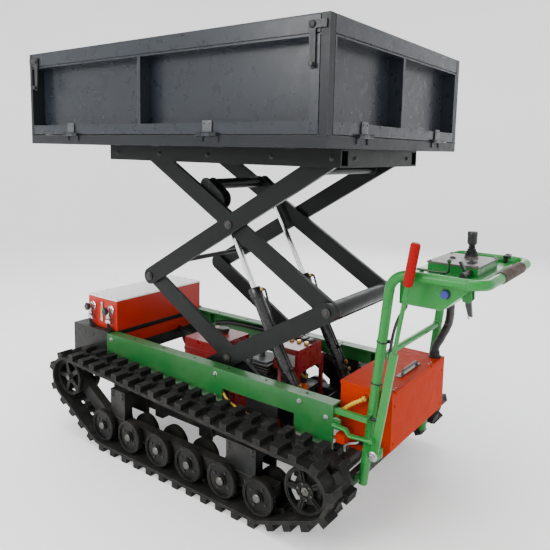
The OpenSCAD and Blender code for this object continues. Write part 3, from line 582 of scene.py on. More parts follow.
# ---------------------------------------------------------------- chassis outside
def chassis_outside():
    bolts, rivets, welds = Shape(), Shape(), Shape()
    for s in SIDES:
        for x, z in ((0.672, 0.404), (0.672, 0.314), (0.045, 0.404), (0.045, 0.314), (-0.345, 0.404),
                (-0.452, 0.378), (-0.452, 0.286), (-0.345, 0.286)):
            bolts.bolt((x, s * rail_y, z), (0, s, 0), 0.0065, 0.0045)
        for x in (0.735, 0.80, 0.865, 0.92):
            rivets.rivet((x, s * nose_hi.y, 0.405), (0, s, 0), 0.005, 0.0028)
        for x in (-0.36, -0.18, 0.0, 0.18, 0.36, 0.54):
            rivets.rivet((x, s * 0.272, rail_hi.z), (0, 0, 1), 0.005, 0.0026)
        welds.bead([(0.696, s * (rail_y + 0.0005), 0.298), (0.696, s * (rail_y + 0.0005), 0.427)], 0.0024)
    for y in (-0.25, -0.15, -0.05, 0.05, 0.15, 0.25):
        rivets.rivet((nose_hi.x - 0.0005, y, 0.318), (1, 0, 0), 0.004, 0.0012)
    bolts.done("rail_bolts", zinc)
    rivets.done("chassis_rivets", black_bolt, slot="frame_black")
    welds.done("rail_welds", weld_green, slot="frame_green")


chassis_outside()


# ---------------------------------------------------------------- oil tank at the front
def oil_tank():
    screws, trims = Shape(), Shape()
    top = lid_hi.z
    for x in (lid_lo.x + 0.010, lid_hi.x - 0.010):
        for k in range(7):
            y = lid_lo.y + 0.014 + (lid_hi.y - lid_lo.y - 0.028) * k / 6
            screws.rivet((x, y, top - 0.0004), (0, 0, 1), 0.0042, 0.0022)
    for y in (lid_lo.y + 0.010, lid_hi.y - 0.010):
        for k in (1, 2, 3):
            screws.rivet((lid_lo.x + (lid_hi.x - lid_lo.x) * k / 4, y, top - 0.0004), (0, 0, 1), 0.0042, 0.0022)
    screws.done("lid_screws", zinc)
    # sight glass and drain on the left end, clear of both valve knobs
    trims.box((0.772, tank_hi.y - 0.001, 0.462), (0.788, tank_hi.y + 0.006, 0.552), 0.002)
    for z in (0.470, 0.544):
        trims.bolt((0.780, tank_hi.y + 0.006, z), (0, 1, 0), 0.004, 0.003, False)
    trims.done("level_gauge", "fitting_steel")
    glass = Shape().box((0.7755, tank_hi.y + 0.0055, 0.480), (0.7845, tank_hi.y + 0.0085, 0.534), 0.0012)
    glass.done("level_glass", brass)
    # valve bodies: collars, lock nuts and the hose tails under them
    collars, tails = Shape(), Shape()
    for name in ("valve_front_turn", "valve_rear_turn"):
        c = place(name)
        collars.stub((c.x, 0.262, c.z), (0, 1, 0), 0.021, 0.005, 0.018, 0.007, 6)
        collars.stub((c.x, 0.2695, c.z), (0, 1, 0), 0.0165, 0.003, 0.0145, 0.004)
        collars.stub((c.x, 0.280, c.z - 0.028), (0, 0, -1), 0.012, 0.010, 0.0098, 0.013, 6)
        tails.tube(curve([(c.x, 0.280, 0.468), (c.x, 0.281, 0.455), (c.x - 0.004, 0.279, 0.444),
                (c.x - 0.012, 0.272, 0.4355)]), 0.0075)
    collars.done("valve_collars", "fitting_steel")
    tails.done("valve_tails", hose_black)
    # weld seams down the corners, and the rubber strip the tank stands on
    seams = Shape()
    for x in (tank_lo.x, tank_hi.x):
        for y in (tank_lo.y, tank_hi.y):
            seams.tube([(x, y, tank_lo.z + 0.002), (x, y, lid_lo.z + 0.008)], 0.0022, 8)
    seams.done("tank_seams", "tank_orange")
    strip = Shape().box((tank_lo.x + 0.001, tank_lo.y + 0.004, tank_lo.z - 0.014),
            (nose_lo.x - 0.0005, tank_hi.y - 0.004, tank_lo.z - 0.0003), 0.002)
    strip.done("tank_strip", hose_black)
    tray = Shape().box((nose_lo.x - 0.0045, tank_lo.y + 0.01, 0.352), (nose_lo.x - 0.0003, tank_hi.y - 0.01, 0.405),
            0.001)
    for y in (-0.2, -0.07, 0.07, 0.2):
        tray.rivet((nose_lo.x - 0.0045, y, 0.378), (-1, 0, 0), 0.005, 0.003)
    tray.done("tank_tray", "tank_orange")


oil_tank()


# ---------------------------------------------------------------- rear box
def rear_box():
    trim, screws = Shape(), Shape()
    back, top = batt_lo.x, 0.488
    # rivets on the back and the left side, and on the lid under its handle
    for s in SIDES:
        for z in (0.31, 0.44):
            screws.rivet((back - 0.0002, s * 0.205, z), (-1, 0, 0), 0.005, 0.0028)
    for x in (-0.50, -0.62):
        screws.rivet((x, 0.226, 0.455), (0, 1, 0), 0.004, 0.002)
    screws.done("battery_box_rivets", box_orange)
    for y in (-0.13, -0.11, 0.17, 0.19):
        trim.rivet((-0.640, y, top), (0, 0, 1), 0.0035, 0.002)
    trim.done("battery_lid_rivets", zinc, "battery_lid")
    # cable gland with its lead on the left side, and the rubber stop on the right
    gland = Shape()
    gland.lathe((-0.548, 0.2255, 0.300), (0, 1, 0), [(0.015, 0), (0.015, 0.005), (0.012, 0.007), (0.012, 0.016),
            (0.009, 0.019)], 18)
    gland.stub((-0.640, -0.2255, 0.400), (0, -1, 0), 0.011, 0.006, 0.008, 0.010, 16)
    gland.done("battery_box_glands", hose_black)
    lead = Shape().tube(curve([(-0.548, 0.243, 0.300), (-0.545, 0.252, 0.299), (-0.533, 0.257, 0.296),
            (-0.515, 0.256, 0.288), (-0.500, 0.249, 0.272), (-0.492, 0.235, 0.250), (-0.482, 0.215, 0.2345)]), 0.0035)
    lead.done("motor_lead", label_pale, slot="loom_black")
    # gland on the shelf where the loom enters
    boot = Shape().lathe((-0.626, -0.200, 0.4885), (0, 0, 1), [(0.0235, 0), (0.0235, 0.004), (0.019, 0.006),
            (0.0175, 0.022), (0.0165, 0.024)], 28)
    boot.done("loom_boot_low", hose_black)


rear_box()


# ---------------------------------------------------------------- cords held by the machine
def looms():
    thick = curve(mm([(-700, -120, 782.5), (-700, -121, 757), (-698, -140, 705), (-680, -178, 635),
            (-648, -198, 568), (-628, -200, 530), (-626, -200, 508), (-626, -200, 489.4)]), 24)
    loom = Shape().tube(thick, lambda s: 0.0145 + 0.0010 * math.sin(2 * math.pi * s / 0.0062), 18)
    thin = curve(mm([(-668, 190, 784), (-668, 190, 768), (-655, 208, 735), (-646, 220, 690), (-641, 228, 630),
            (-641, 236, 560), (-634, 241, 500), (-640, 254, 460), (-634, 266, 425), (-618, 268, 408),
            (-603, 268, 407)]), 8)
    loom.tube(thin, 0.005, 12)
    made = loom.done("loom_sleeved", "loom_black", smooth=60.0)
    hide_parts("wiring_loom")
    hose = curve(mm([(-560, 226.8, 452), (-560, 239, 452), (-550, 250, 446), (-526, 253, 430), (-495, 251, 404),
            (-461, 243, 376), (-447, 200, 335), (-443, 145, 283), (-400, 80, 210), (-330, 40, 166), (-260, 30, 162),
            (-196.5, 30, 162)]), 22)
    made = Shape().tube(hose, lambda s: 0.0064 + 0.0009 * math.sin(2 * math.pi * s / 0.011), 14)
    made = made.done("hose_spiral", "hose_yellow", smooth=60.0)
    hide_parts("hydraulic_hoses")
    ends = Shape()
    ends.stub((-0.560, 0.2262, 0.452), (0, 1, 0), 0.0115, 0.010, 0.0095, 0.013, 6)
    ends.stub((-0.1955, 0.030, 0.162), (-1, 0, 0), 0.0115, 0.012, 0.0095, 0.016, 6)
    ends.done("hose_unions", brass)
    # gland where the loom leaves the control box, and clips round the upright
    boot = Shape().lathe((-0.700, -0.120, 0.7848), (0, 0, -1), [(0.022, 0), (0.022, 0.004), (0.0185, 0.007),
            (0.0170, 0.024), (0.0160, 0.027)], 28)
    boot.lathe((-0.668, 0.190, 0.7848), (0, 0, -1), [(0.011, 0), (0.011, 0.004), (0.008, 0.006), (0.0065, 0.018)], 18)
    boot.done("loom_boots", hose_black)
    clips = Shape()
    for z in (0.52, 0.66):
        x = -0.571 - 0.0986 * (z - 0.165)
        clips.hoop((x, 0.245, z), (-0.098, 0, 1), 0.0172, 0.0022, 36, 8)
    clips.box((-0.650, 0.226, 0.655), (-0.632, 0.236, 0.667), 0.002)
    clips.done("cable_clips", "knob_black")


looms()


# ---------------------------------------------------------------- handle and controls
def handle():
    beads, metalwork = Shape(), Shape()
    for s in SIDES:
        beads.hoop((-0.6145, s * 0.2290, 0.606), (0, 1, 0), 0.0130, 0.0028, 40, 8, 0.15, 18)
        beads.bead([(-0.602, s * 0.2605, 0.398), (-0.588, s * 0.2605, 0.398)], 0.0022)
        beads.bead([(-0.602, s * 0.2605, 0.4165), (-0.588, s * 0.2605, 0.4165)], 0.0022)
        beads.bead([(-0.760, s * 0.2100, 0.8725), (-0.735, s * 0.2100, 0.8725)], 0.0018)
        beads.hoop((-0.880, s * HANDLE_Y, GRIP_Z), (1, 0, 0), 0.0164, 0.0012, 40, 8)
    beads.done("handle_welds", weld_green)
    for s in SIDES:
        for x in (-0.470, -0.452):
            metalwork.bolt((x, s * 0.2770, 0.407), (0, -s, 0), 0.0055, 0.004)
        metalwork.bolt((-0.5615, s * 0.2545, 0.175), (0, s, 0), 0.006, 0.004)
    metalwork.done("handle_bolts", zinc)
    # thumb switch clamped to the right tube
    switch = Shape()
    switch.hoop((-0.858, -HANDLE_Y, GRIP_Z), (1, 0, 0), 0.0185, 0.0035, 36, 8)
    switch.hoop((-0.850, -HANDLE_Y, GRIP_Z), (1, 0, 0), 0.0185, 0.0035, 36, 8)
    switch.box((-0.868, -0.258, 0.8985), (-0.848, -0.212, 0.9065), 0.003)
    switch.box((-0.862, -0.246, 0.9055), (-0.854, -0.226, 0.9095), 0.0015)
    switch.done("thumb_switch", "knob_black")
    # pivot nut and washer of the drive lever
    pivot = place("drive_lever_swing")
    nut = Shape().stub((pivot.x, 0.3000, pivot.z), (0, 1, 0), 0.0115, 0.006, 0.0095, 0.0075, 6)
    nut.lathe((pivot.x, 0.2945, pivot.z), (0, 1, 0), [(0.0165, 0.0), (0.0165, 0.0012), (0.0155, 0.0018),
            (0.009, 0.0058)], 24)
    nut.done("lever_pivot_nut", zinc)


handle()


def console():
    screws = Shape()
    for x in (-0.856, -0.706):
        for y in (-0.095, 0.095):
            screws.stub((x, y, 0.9145), (0, 0, 1), 0.0042, 0.0012, 0.0032, 0.0018, 6)
    for x in (-0.79, -0.74):
        screws.rivet((x, 0.040, 0.9118), (0, 0, 1), 0.0035, 0.0018)
    screws.done("console_screws", zinc)
    trims = Shape()
    # rocker switch and pilot lamp bezels on the plate
    trims.box((-0.835, 0.020, 0.9115), (-0.812, 0.060, 0.9165), 0.0015)
    trims.box((-0.831, 0.025, 0.916), (-0.816, 0.055, 0.920), 0.0015)
    trims.lathe((-0.745, 0.000, 0.9118), (0, 0, 1), [(0.010, 0), (0.010, 0.003), (0.008, 0.004), (0.005, 0.007)], 20)
    trims.done("console_switch", "knob_black")
    bezel = Shape().hoop((-0.804, 0.2100, 0.838), (0, 1, 0), 0.0136, 0.0012, 32, 8)
    bezel.done("button_bezel", "knob_black")
    # rubber boot under the joystick, joined to the plate and the stick
    c = place("joystick_tilt")
    steps = []
    for k in range(25):
        t = k / 24
        r = 0.0235 * (1 - t) + 0.0086 * t
        steps.append((r + 0.0016 * math.cos(2 * math.pi * 4.5 * t), 0.0062 + 0.031 * t))
    boot = Shape().lathe((c.x, c.y, c.z), (0, 0, 1), steps, 32).done("joystick_boot", hose_black, None, "knob_black",
            60.0)
    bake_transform(boot)
    knob = Shape()
    knob.lathe((c.x, c.y, 0.9560), (0, 0, 1), [(0.0100, 0), (0.0150, 0.003), (0.0158, 0.010), (0.0158, 0.030),
            (0.0168, 0.034), (0.0168, 0.040), (0.0145, 0.0450), (0.0080, 0.0462)], 32)
    for h in (0.9690, 0.9765, 0.9840):
        knob.hoop((c.x, c.y, h), (0, 0, 1), 0.0156, 0.0011, 36, 8)
    knob.done("joystick_rings", "knob_black", "joystick")
    # side seams of the control box
    seams = Shape()
    for s in SIDES:
        seams.bead([(-0.657, s * CONSOLE_SIDE, 0.786), (-0.793, s * CONSOLE_SIDE, 0.786)], 0.0016)
        for x in (-0.68, -0.78):
            seams.rivet((x, s * 0.209, 0.868), (0, s, 0), 0.0035, 0.002)
    seams.done("control_box_seams", weld_green)
    ferrule = Shape().stub((-0.856, 0.150, 0.7668), (-0.25, 0, -1), 0.0035, 0.008, 0.002, 0.010, 10)
    ferrule.done("throttle_tip", "fitting_steel", "throttle_lever")


console()


def lever():
    # collar under the red grip and a clevis at the link
    foot = place("drive_lever_swing")
    lean = math.radians(8.66)
    along = Vector((-math.sin(lean), 0, math.cos(lean)))
    at = Vector((foot.x, 0.286, foot.z))
    made = Shape()
    made.lathe(at + along * 0.569, along, [(0.0095, 0), (0.0115, 0.002), (0.0115, 0.006)], 24)
    made.done("lever_collar", "grip_red", "drive_lever")
    ribs = Shape()
    for k in range(9):
        ribs.hoop(at + along * (0.590 + 0.012 * k), along, 0.0150, 0.0011, 32, 6)
    ribs.done("lever_grip_ribs", "grip_red", "drive_lever")
    weld = Shape().hoop(at + along * 0.3505, along, 0.0082, 0.0022, 32, 8, 0.15, 14)
    weld.done("lever_weld", weld_green, "drive_lever")
    link = Shape().stub((-0.624, 0.309, 0.352), (0, 1, 0), 0.0085, 0.003, 0.006, 0.0055, 20)
    link.stub((-0.490, 0.309, 0.366), (0, 1, 0), 0.0065, 0.002, 0.004, 0.004, 20)
    link.tube(curve(mm([(-630, 311, 353), (-590, 311, 350), (-556, 311, 347), (-545, 311, 350), (-538, 311, 358),
            (-530, 311, 363), (-486, 311, 366)]), 8), 0.0048, 12)
    link.done("link_rod", "handle_green", "drive_link")


lever()


# ---------------------------------------------------------------- scissor lift
def lift():
    a = math.asin((place("front_knee").z - place("lift").z) / 1.035)
    rear, mid, top = place("lift"), place("front_knee").z, place("platform_level").z

    def up(z0, s, t=0.0):
        return rear.x + s * math.cos(a) - t * math.sin(a), z0 + s * math.sin(a) + t * math.cos(a)

    def down(z0, s, t=0.0):
        return rear.x + s * math.cos(a) + t * math.sin(a), z0 - s * math.sin(a) + t * math.cos(a)

    # pin heads: hex heads with washers outside the outer arms
    heads = {"lower_inner": [up(rear.z, 0.5175), up(rear.z, 1.035)], "upper_inner": [up(mid, 0.0), up(mid, 0.5175)]}
    for body, places in heads.items():
        made = Shape()
        for s in SIDES:
            for x, z in places:
                made.stub((x, s * ARM_OUTSIDE, z), (0, s, 0), 0.0165, 0.0012, 0.0150, 0.0018, 28)
                made.stub((x, s * 0.2356, z), (0, s, 0), 0.0115, 0.0034, 0.0095, 0.0046, 6)
        made.done("pin_heads_" + body, black_bolt, body)

    # weld beads round the cross tubes, on the inner faces of their arms
    rings = {
        "lower_inner": [(up(rear.z, 0.165, -0.014), 0.018, 0.195)],
        "lower_outer": [(down(mid, 0.915), 0.016, 0.215)],
        "upper_outer": [(down(top, 0.890), 0.010, 0.215), (down(top, 0.090), 0.016, 0.215)],
        "upper_inner": [(up(mid, 0.0), 0.030, 0.195), (up(mid, 0.725, 0.045), 0.022, 0.195)],
    }
    for body, places in rings.items():
        made = Shape()
        for (x, z), r, y in places:
            for s in SIDES:
                made.hoop((x, s * (y - 0.0015), z), (0, 1, 0), r + 0.0015, 0.0030, 56, 8, 0.16, 28)
        made.done("tube_welds_" + body, weld_black, body, "lift_black")

    # slide rollers: end caps of the four rollers that run in the channels
    for body, spot in (("lower_outer", down(mid, 1.035)), ("upper_inner", up(mid, 1.035))):
        made = Shape()
        for s in SIDES:
            made.stub((spot[0], s * 0.2795, spot[1]), (0, s, 0), 0.012, 0.002, 0.009, 0.0035)
        made.done("slide_roller_caps_" + body, zinc, body)


lift()


def cylinders():
    foot = place("cylinder_foot")
    axis = Vector(joints["cylinder_stroke"]["axis"]).normalized()
    out = Vector((-axis.z, 0, axis.x))
    made, lines, gold = Shape(), Shape(), Shape()
    for s in SIDES:
        base = Vector((foot.x, s * CYLINDER_Y, foot.z))
        # gland nut with its spanner holes, end weld, and the steel pipe between the two ports
        made.lathe(base + axis * 0.4555, axis, [(0.0240, 0), (0.0252, 0.0015), (0.0252, 0.0345), (0.0235, 0.0370),
                (0.0130, 0.0385)], 40)
        made.hoop(base + axis * 0.0405, axis, 0.0205, 0.0032, 48, 8, 0.16, 24)
        for k in range(6):
            w = math.pi / 3 * k
            side = out * math.cos(w) + Vector((0, 1, 0)) * math.sin(w)
            made.stub(base + axis * 0.474 + side * 0.0246, side, 0.0030, 0.0012, 0.0022, 0.0016, 10)
        for h in (0.060, 0.478):
            gold.stub(base + axis * h + out * 0.0325, out, 0.0085, 0.007, 0.0068, 0.009, 6)
        run = [base + axis * h + out * off for h, off in (
            (0.478, 0.040), (0.474, 0.0455), (0.462, 0.0465), (0.40, 0.036),
            (0.34, 0.0295), (0.20, 0.0290), (0.13, 0.0300), (0.095, 0.0345))]
        lines.tube(curve(run, 8), 0.0042, 10)
        for h in (0.32, 0.16):
            made.hoop(base + axis * h, axis, 0.0232, 0.0016, 48, 8)
            made.box(base + axis * h + out * 0.0285 - Vector((0.007, 0.007, 0.007)),
                    base + axis * h + out * 0.0285 + Vector((0.007, 0.007, 0.007)), 0.002)
        gold.stub(base + axis * 0.100 + out * 0.0340, -axis, 0.0072, 0.014, 0.0056, 0.016, 6)
    made.done("barrel_trim", "barrel_black", "barrels")
    lines.done("barrel_pipes", hose_black, "barrels")
    gold.done("barrel_unions", brass, "barrels")
    # lock nuts under the rod eyes
    stroke = Shape()
    length = (TOP_EYE - foot).length
    for s in SIDES:
        base = Vector((foot.x, s * CYLINDER_Y, foot.z))
        stroke.lathe(base + axis * (length - 0.036), axis, [(0.0150, 0), (0.0165, 0.0015), (0.0165, 0.012),
                (0.0150, 0.0135)], 6)
    stroke.done("rod_lock_nuts", "lift_black", "rods")


cylinders()


# ---------------------------------------------------------------- power unit
def power_unit():
    cover = Shape()
    # recoil starter: dished cover ring, pull grip and screws
    for r, y in ((0.080, 0.1362), (0.060, 0.1378), (0.041, 0.1406)):
        cover.hoop((0.035, y, 0.250), (0, 1, 0), r - 0.002, 0.0022, 64, 8)
    cover.done("starter_rings", "shroud_red")
    pull = Shape()
    pull.tube([(0.070, 0.128, 0.334), (0.082, 0.130, 0.342)], 0.0040, 10)
    pull.tube([(0.074, 0.110, 0.347), (0.090, 0.134, 0.347)], 0.0075, 14)
    for k in range(4):
        w = math.pi / 2 * k + 0.4
        pull.bolt((0.035 + 0.068 * math.cos(w), 0.1358, 0.250 + 0.068 * math.sin(w)), (0, 1, 0), 0.0045, 0.003, False)
    pull.done("starter_pull", "knob_black")
    # exhaust box with its slotted guard
    box = Shape().box((0.122, -0.085, 0.245), (0.186, 0.060, 0.330), 0.008)
    for k in range(8):
        y = -0.072 + 0.0165 * k
        box.box((0.1850, y, 0.258), (0.1895, y + 0.008, 0.318), 0.001)
    box.tube([(0.150, -0.084, 0.262), (0.150, -0.108, 0.262)], 0.011, 20)
    box.done("exhaust_box", exhaust)
    # air cleaner, plug cap and lead, oil plug
    air = Shape().box((-0.062, -0.085, 0.335), (-0.018, 0.020, 0.402), 0.007)
    air.lathe((-0.040, -0.032, 0.401), (0, 0, 1), [(0.008, 0), (0.008, 0.004), (0.014, 0.006), (0.014, 0.011),
            (0.010, 0.013)], 20)
    air.lathe((0.050, 0.0, 0.4085), (0, 0, 1), [(0.010, 0), (0.013, 0.002), (0.013, 0.018), (0.010, 0.022)], 20)
    air.tube(curve([(0.050, 0.0, 0.426), (0.052, 0.012, 0.437), (0.050, 0.045, 0.434), (0.045, 0.075, 0.405),
            (0.040, 0.096, 0.360), (0.037, 0.104, 0.332)]), 0.0036)
    air.done("air_cleaner", "knob_black")
    plug = Shape().lathe((0.090, 0.080, 0.2895), (0.2, 0.2, 1), [(0.012, 0), (0.012, 0.010), (0.015, 0.012),
            (0.015, 0.020), (0.011, 0.023)], 18)
    plug.lathe((-0.194, 0.050, 0.334), (-1, 0, 0), [(0.012, -0.012), (0.012, 0.004), (0.017, 0.006), (0.017, 0.014),
            (0.013, 0.017)], 16)
    plug.done("oil_plug", orange_plastic)
    cap = Shape().lathe((0.300, -0.030, 0.4448), (0, 0, 1), [(0.027, -0.008), (0.0275, 0.001), (0.0275, 0.008),
            (0.024, 0.011)], 32)
    for k in range(16):
        w = math.pi / 8 * k
        cap.lathe((0.300 + 0.0272 * math.cos(w), -0.030 + 0.0272 * math.sin(w), 0.4385), (0, 0, 1), [(0.0022, 0),
                (0.0022, 0.013)], 8)
    cap.done("fuel_cap", "knob_black")
    seam = Shape()
    for s, y in ((1, 0.112), (-1, -0.100)):
        seam.box((0.204, y - 0.0008 if s > 0 else y - 0.0032, 0.384),
                (0.401, y + 0.0032 if s > 0 else y + 0.0008, 0.390), 0.001)
    seam.box((0.2018, -0.102, 0.384), (0.2058, 0.114, 0.390), 0.001)
    seam.done("fuel_tank_seam", "shroud_red")
    # valve box: blank pale plate, levers' cover and unions
    plate = Shape().box((-0.190, 0.1045, 0.430), (-0.105, 0.1068, 0.475), 0.0008)
    plate.done("valve_box_plate", label_pale)
    unions = Shape()
    for x in (-0.185, -0.150, -0.115):
        unions.stub((x, 0.020, 0.4975), (0, 0, 1), 0.010, 0.007, 0.008, 0.010, 6)
    for x, y, z in ((-0.140, 0.040, 0.352), (-0.140, -0.040, 0.333)):
        unions.stub((x, y, z), (0, 0, 1), 0.017, 0.012, 0.014, 0.015, 6)
    unions.lathe((-0.177, 0.0615, 0.392), (0, 1, 0), [(0.013, -0.004), (0.013, 0.010), (0.010, 0.014),
            (0.010, 0.020)], 6)
    unions.done("power_unions", brass)
    valves = Shape()
    for x in (-0.180, -0.148, -0.116):
        valves.box((x - 0.011, -0.045, 0.4975), (x + 0.011, -0.005, 0.507), 0.002)
    valves.box((-0.197, -0.078, 0.300), (-0.090, 0.078, 0.318), 0.003)
    valves.done("valve_coils", "knob_black")
    # hoses: pump to valve box, pump to the front, pump to the drive motors
    hoses = Shape()
    hoses.tube(curve([(-0.140, 0.040, 0.362), (-0.140, 0.041, 0.380), (-0.150, 0.050, 0.392),
            (-0.177, 0.066, 0.392)], 8), 0.0078)
    hoses.tube(curve([(-0.140, -0.040, 0.344), (-0.138, -0.044, 0.362), (-0.126, -0.072, 0.378),
            (-0.090, -0.104, 0.374), (-0.030, -0.122, 0.362), (0.080, -0.128, 0.352), (0.230, -0.128, 0.346),
            (0.400, -0.127, 0.342), (0.540, -0.127, 0.345), (0.640, -0.130, 0.352), (0.6915, -0.132, 0.358)], 8),
            0.0082)
    hoses.tube(curve([(-0.086, -0.052, 0.225), (-0.070, -0.075, 0.232), (-0.050, -0.110, 0.245),
            (0.000, -0.142, 0.262), (0.100, -0.150, 0.268), (0.280, -0.146, 0.262), (0.440, -0.140, 0.285),
            (0.560, -0.142, 0.315), (0.650, -0.150, 0.330), (0.6915, -0.155, 0.335)], 8), 0.0082)
    for s in SIDES:
        hoses.tube(curve([(-0.195, s * 0.050, 0.178), (-0.212, s * 0.052, 0.168), (-0.262, s * 0.066, 0.1635),
                (-0.330, s * 0.100, 0.1660), (-0.392, s * 0.142, 0.180), (-0.4375, s * 0.166, 0.194)], 8), 0.0075)
    hoses.done("power_hoses", hose_black)
    # corrugated guard lying inside the right rail
    guard = Shape().tube(curve([(0.560, -0.268, 0.372), (0.460, -0.270, 0.392), (0.300, -0.271, 0.398),
            (0.140, -0.271, 0.396), (0.020, -0.268, 0.385)], 60),
            lambda s: 0.0105 + 0.0014 * math.sin(2 * math.pi * s / 0.0105), 16)
    guard.done("hose_guard", "loom_black", smooth=60.0)
    yellow = Shape().tube(curve([(0.022, 0.282, 0.335), (-0.010, 0.300, 0.326), (-0.042, 0.307, 0.314),
            (-0.110, 0.309, 0.298), (-0.186, 0.308, 0.281), (-0.255, 0.304, 0.262), (-0.310, 0.290, 0.240)], 20),
            lambda s: 0.0042 + 0.0006 * math.sin(2 * math.pi * s / 0.008), 12)
    yellow.done("notch_hose", "hose_yellow", smooth=60.0)


power_unit()


# ---------------------------------------------------------------- load bed
def load_bed():
    floor = BED_FLOOR
    top = bed_hi.z
    # rivets along the foot of each drop side, and screws in the hinge leaves
    for s, word in zip(SIDES, ("left", "right")):
        made = Shape()
        for k in range(11):
            x = -0.495 + 0.138 * k
            made.rivet((x, s * 0.4995, floor + 0.0335), (0, s, 0), 0.0032, 0.0022)
        plates = Shape()
        for cx in (0.634, -0.101):
            plates.box((cx - 0.020, min(s * 0.5036, s * 0.5056), floor + 0.0105), (cx + 0.020,
                    max(s * 0.5036, s * 0.5056), floor + 0.0455), 0.0009)
            for dx in (-0.012, 0.012):
                made.rivet((cx + dx, s * 0.5054, floor + 0.036), (0, s, 0), 0.0034, 0.0018)
        plates.done("side_leaf_" + word, worn_steel, "panel_" + word)
        made.done("side_rivets_" + word, "latch_steel", "panel_" + word)
        lip = Shape()
        # hemmed top edge and the rib's rolled lips
        lip.tube([(side_lo.x + 0.001, s * 0.4985, top - 0.0022), (side_hi.x - 0.001, s * 0.4985, top - 0.0022)],
                0.0022, 10)
        for x in (0.2275, 0.2395):
            lip.tube([(x, s * 0.4992, floor + 0.040), (x, s * 0.4992, top - 0.061)], 0.0014, 8)
        lip.bead([(0.231, s * 0.4425, floor + 0.041), (0.237, s * 0.4425, floor + 0.041)], 0.0016)
        lip.done("side_lips_" + word, "bed_alloy", "panel_" + word)
    for face, word, x in ((1, "front", 0.920), (-1, "rear", -0.550)):
        made = Shape()
        for k in range(8):
            y = -0.42 + 0.12 * k
            made.rivet((x - face * 0.0005, y, floor + 0.0335), (face, 0, 0), 0.0032, 0.0022)
        plates = Shape()
        for cy in (-0.290, 0.290):
            near, far = sorted((x + face * 0.0036, x + face * 0.0056))
            plates.box((near, cy - 0.020, floor + 0.0105), (far, cy + 0.020, floor + 0.0455), 0.0009)
            for dy in (-0.012, 0.012):
                made.rivet((x + face * 0.0054, cy + dy, floor + 0.036), (face, 0, 0), 0.0034, 0.0018)
        plates.done("end_leaf_" + word, worn_steel, "panel_" + word)
        made.done("end_rivets_" + word, "latch_steel", "panel_" + word)
    # welds where the posts stand on the floor frame, and seams of the skirt
    welds = Shape()
    for s in SIDES:
        welds.bead([(-0.550, s * 0.5003, 1.2998), (-0.523, s * 0.5003, 1.2998)], 0.0020)
        welds.bead([(0.906, s * 0.5003, 1.2998), (0.920, s * 0.5003, 1.2998)], 0.0020)
        welds.bead([(-0.5503, s * 0.474, 1.2998), (-0.5503, s * 0.499, 1.2998)], 0.0020)
        for x in (0.589, 0.679, -0.146, -0.056):
            welds.bead([(x, s * 0.5032, 1.2795), (x, s * 0.5032, 1.2975)], 0.0016)
    for x in (-0.30, 0.02, 0.36, 0.60):
        for s in SIDES:
            welds.bead([(x, s * 0.2915, 1.2642), (x + 0.04, s * 0.2915, 1.2642)], 0.0022)
    welds.done("bed_welds", "bed_steel", "platform")
    bolts = Shape()
    for s in SIDES:
        for x in (-0.44, -0.20, 0.10, 0.36, 0.62):
            bolts.bolt((x, s * sub_hi.y, 1.2346), (0, s, 0), 0.0065, 0.0045)
    for y in (-0.2, 0.2):
        bolts.bolt((sub_lo.x, y, 1.2346), (-1, 0, 0), 0.0065, 0.0045)
    bolts.done("subframe_bolts", black_bolt, "platform")
    # spring plungers and finger tabs of the four latches
    for s, side in zip(SIDES, ("left", "right")):
        for end, face in (("front", -1), ("rear", 1)):
            c = place(f"latch_{side}_{end}_turn")
            made = Shape()
            made.stub((c.x, c.y + s * 0.0088, c.z), (0, s, 0), 0.0092, 0.0008, 0.0070, 0.0020, 6, base=-0.0030)
            foot = Vector((c.x - face * 0.002, c.y + s * 0.0135, c.z - 0.108))
            made.lathe(foot, (0, s, 0), [(0.0060, -0.001), (0.0074, 0.0005), (0.0074, 0.0030), (0.0052, 0.0040)], 20)
            made.hoop((c.x, c.y + s * 0.0063, c.z), (0, 1, 0), 0.0108, 0.0012, 32, 8)
            made.done(f"latch_trim_{side}_{end}", "latch_steel", f"latch_{side}_{end}")


load_bed()


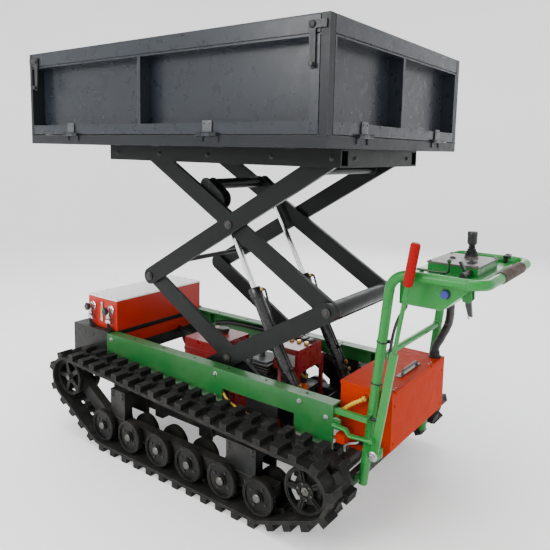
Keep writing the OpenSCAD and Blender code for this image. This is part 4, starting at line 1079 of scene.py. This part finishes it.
# ---------------------------------------------------------------- floor, backdrop and light
def studio():
    """A pale floor that curves up into a round wall, so every side has the same plain backdrop."""
    bm = bmesh.new()
    steps = [(0.02, 0.0), (1.5, 0.0), (3.0, 0.0), (4.5, 0.0), (6.0, 0.0)]
    for k in range(1, 13):
        a = math.pi / 2 * k / 12
        steps.append((6.0 + 2.0 * math.sin(a), 2.0 - 2.0 * math.cos(a)))
    steps += [(8.0, 4.0), (8.0, 7.0)]
    rings = []
    for r, z in steps:
        rings.append([bm.verts.new((r * math.cos(2 * math.pi * k / 96), r * math.sin(2 * math.pi * k / 96),
                z)) for k in range(96)])
    for p, q in zip(rings, rings[1:]):
        for k in range(96):
            bm.faces.new((p[k], p[(k + 1) % 96], q[(k + 1) % 96], q[k]))
    bm.faces.new(list(reversed(rings[0])))
    bmesh.ops.recalc_face_normals(bm, faces=bm.faces[:])
    mesh = bpy.data.meshes.new("floor")
    bm.to_mesh(mesh)
    bm.free()
    mesh.shade_smooth()
    floor = new_object("floor", mesh)
    net = Net("studio_floor", (0.9, 0.9, 0.9))
    net.set(Base_Color=net.mix(net.span(net.noise(0.8, 3.0), 0.3, 0.7), (0.90, 0.90, 0.895), (0.93, 0.93, 0.925)),
            Roughness=0.8, Emission_Color=(1.0, 1.0, 1.0), Emission_Strength=0.28)
    mesh.materials.append(net.mat)

    def area(name, at, to, size, power, colour=(1, 1, 1)):
        data = bpy.data.lights.new(name, "AREA")
        data.shape, data.size, data.size_y = "RECTANGLE", size[0], size[1]
        data.energy, data.color = power, colour
        lamp = new_object(name, data)
        lamp.location = at
        lamp.rotation_mode = "QUATERNION"
        lamp.rotation_quaternion = (Vector(to) - Vector(at)).to_track_quat("-Z", "Y")

    area("top_light", (0.4, 0.2, 4.6), (0.0, 0.0, 0.8), (4.0, 4.0), 250)
    area("key_light", (1.2, 4.2, 3.0), (0.2, 0.2, 1.0), (2.6, 2.2), 165, (1.0, 0.985, 0.96))
    area("rear_light", (-4.4, 0.6, 2.2), (-0.3, 0.0, 0.9), (2.4, 2.4), 14, (0.97, 1.0, 0.98))
    area("far_light", (1.6, -4.4, 2.6), (0.0, 0.0, 0.9), (3.0, 2.4), 80, (0.97, 0.985, 1.0))
    world = bpy.data.worlds.new("world")
    bpy.context.scene.world = world
    world.use_nodes = True
    world.node_tree.nodes["Background"].inputs[0].default_value = (0.93, 0.95, 1.0, 1.0)
    world.node_tree.nodes["Background"].inputs[1].default_value = 0.6


studio()
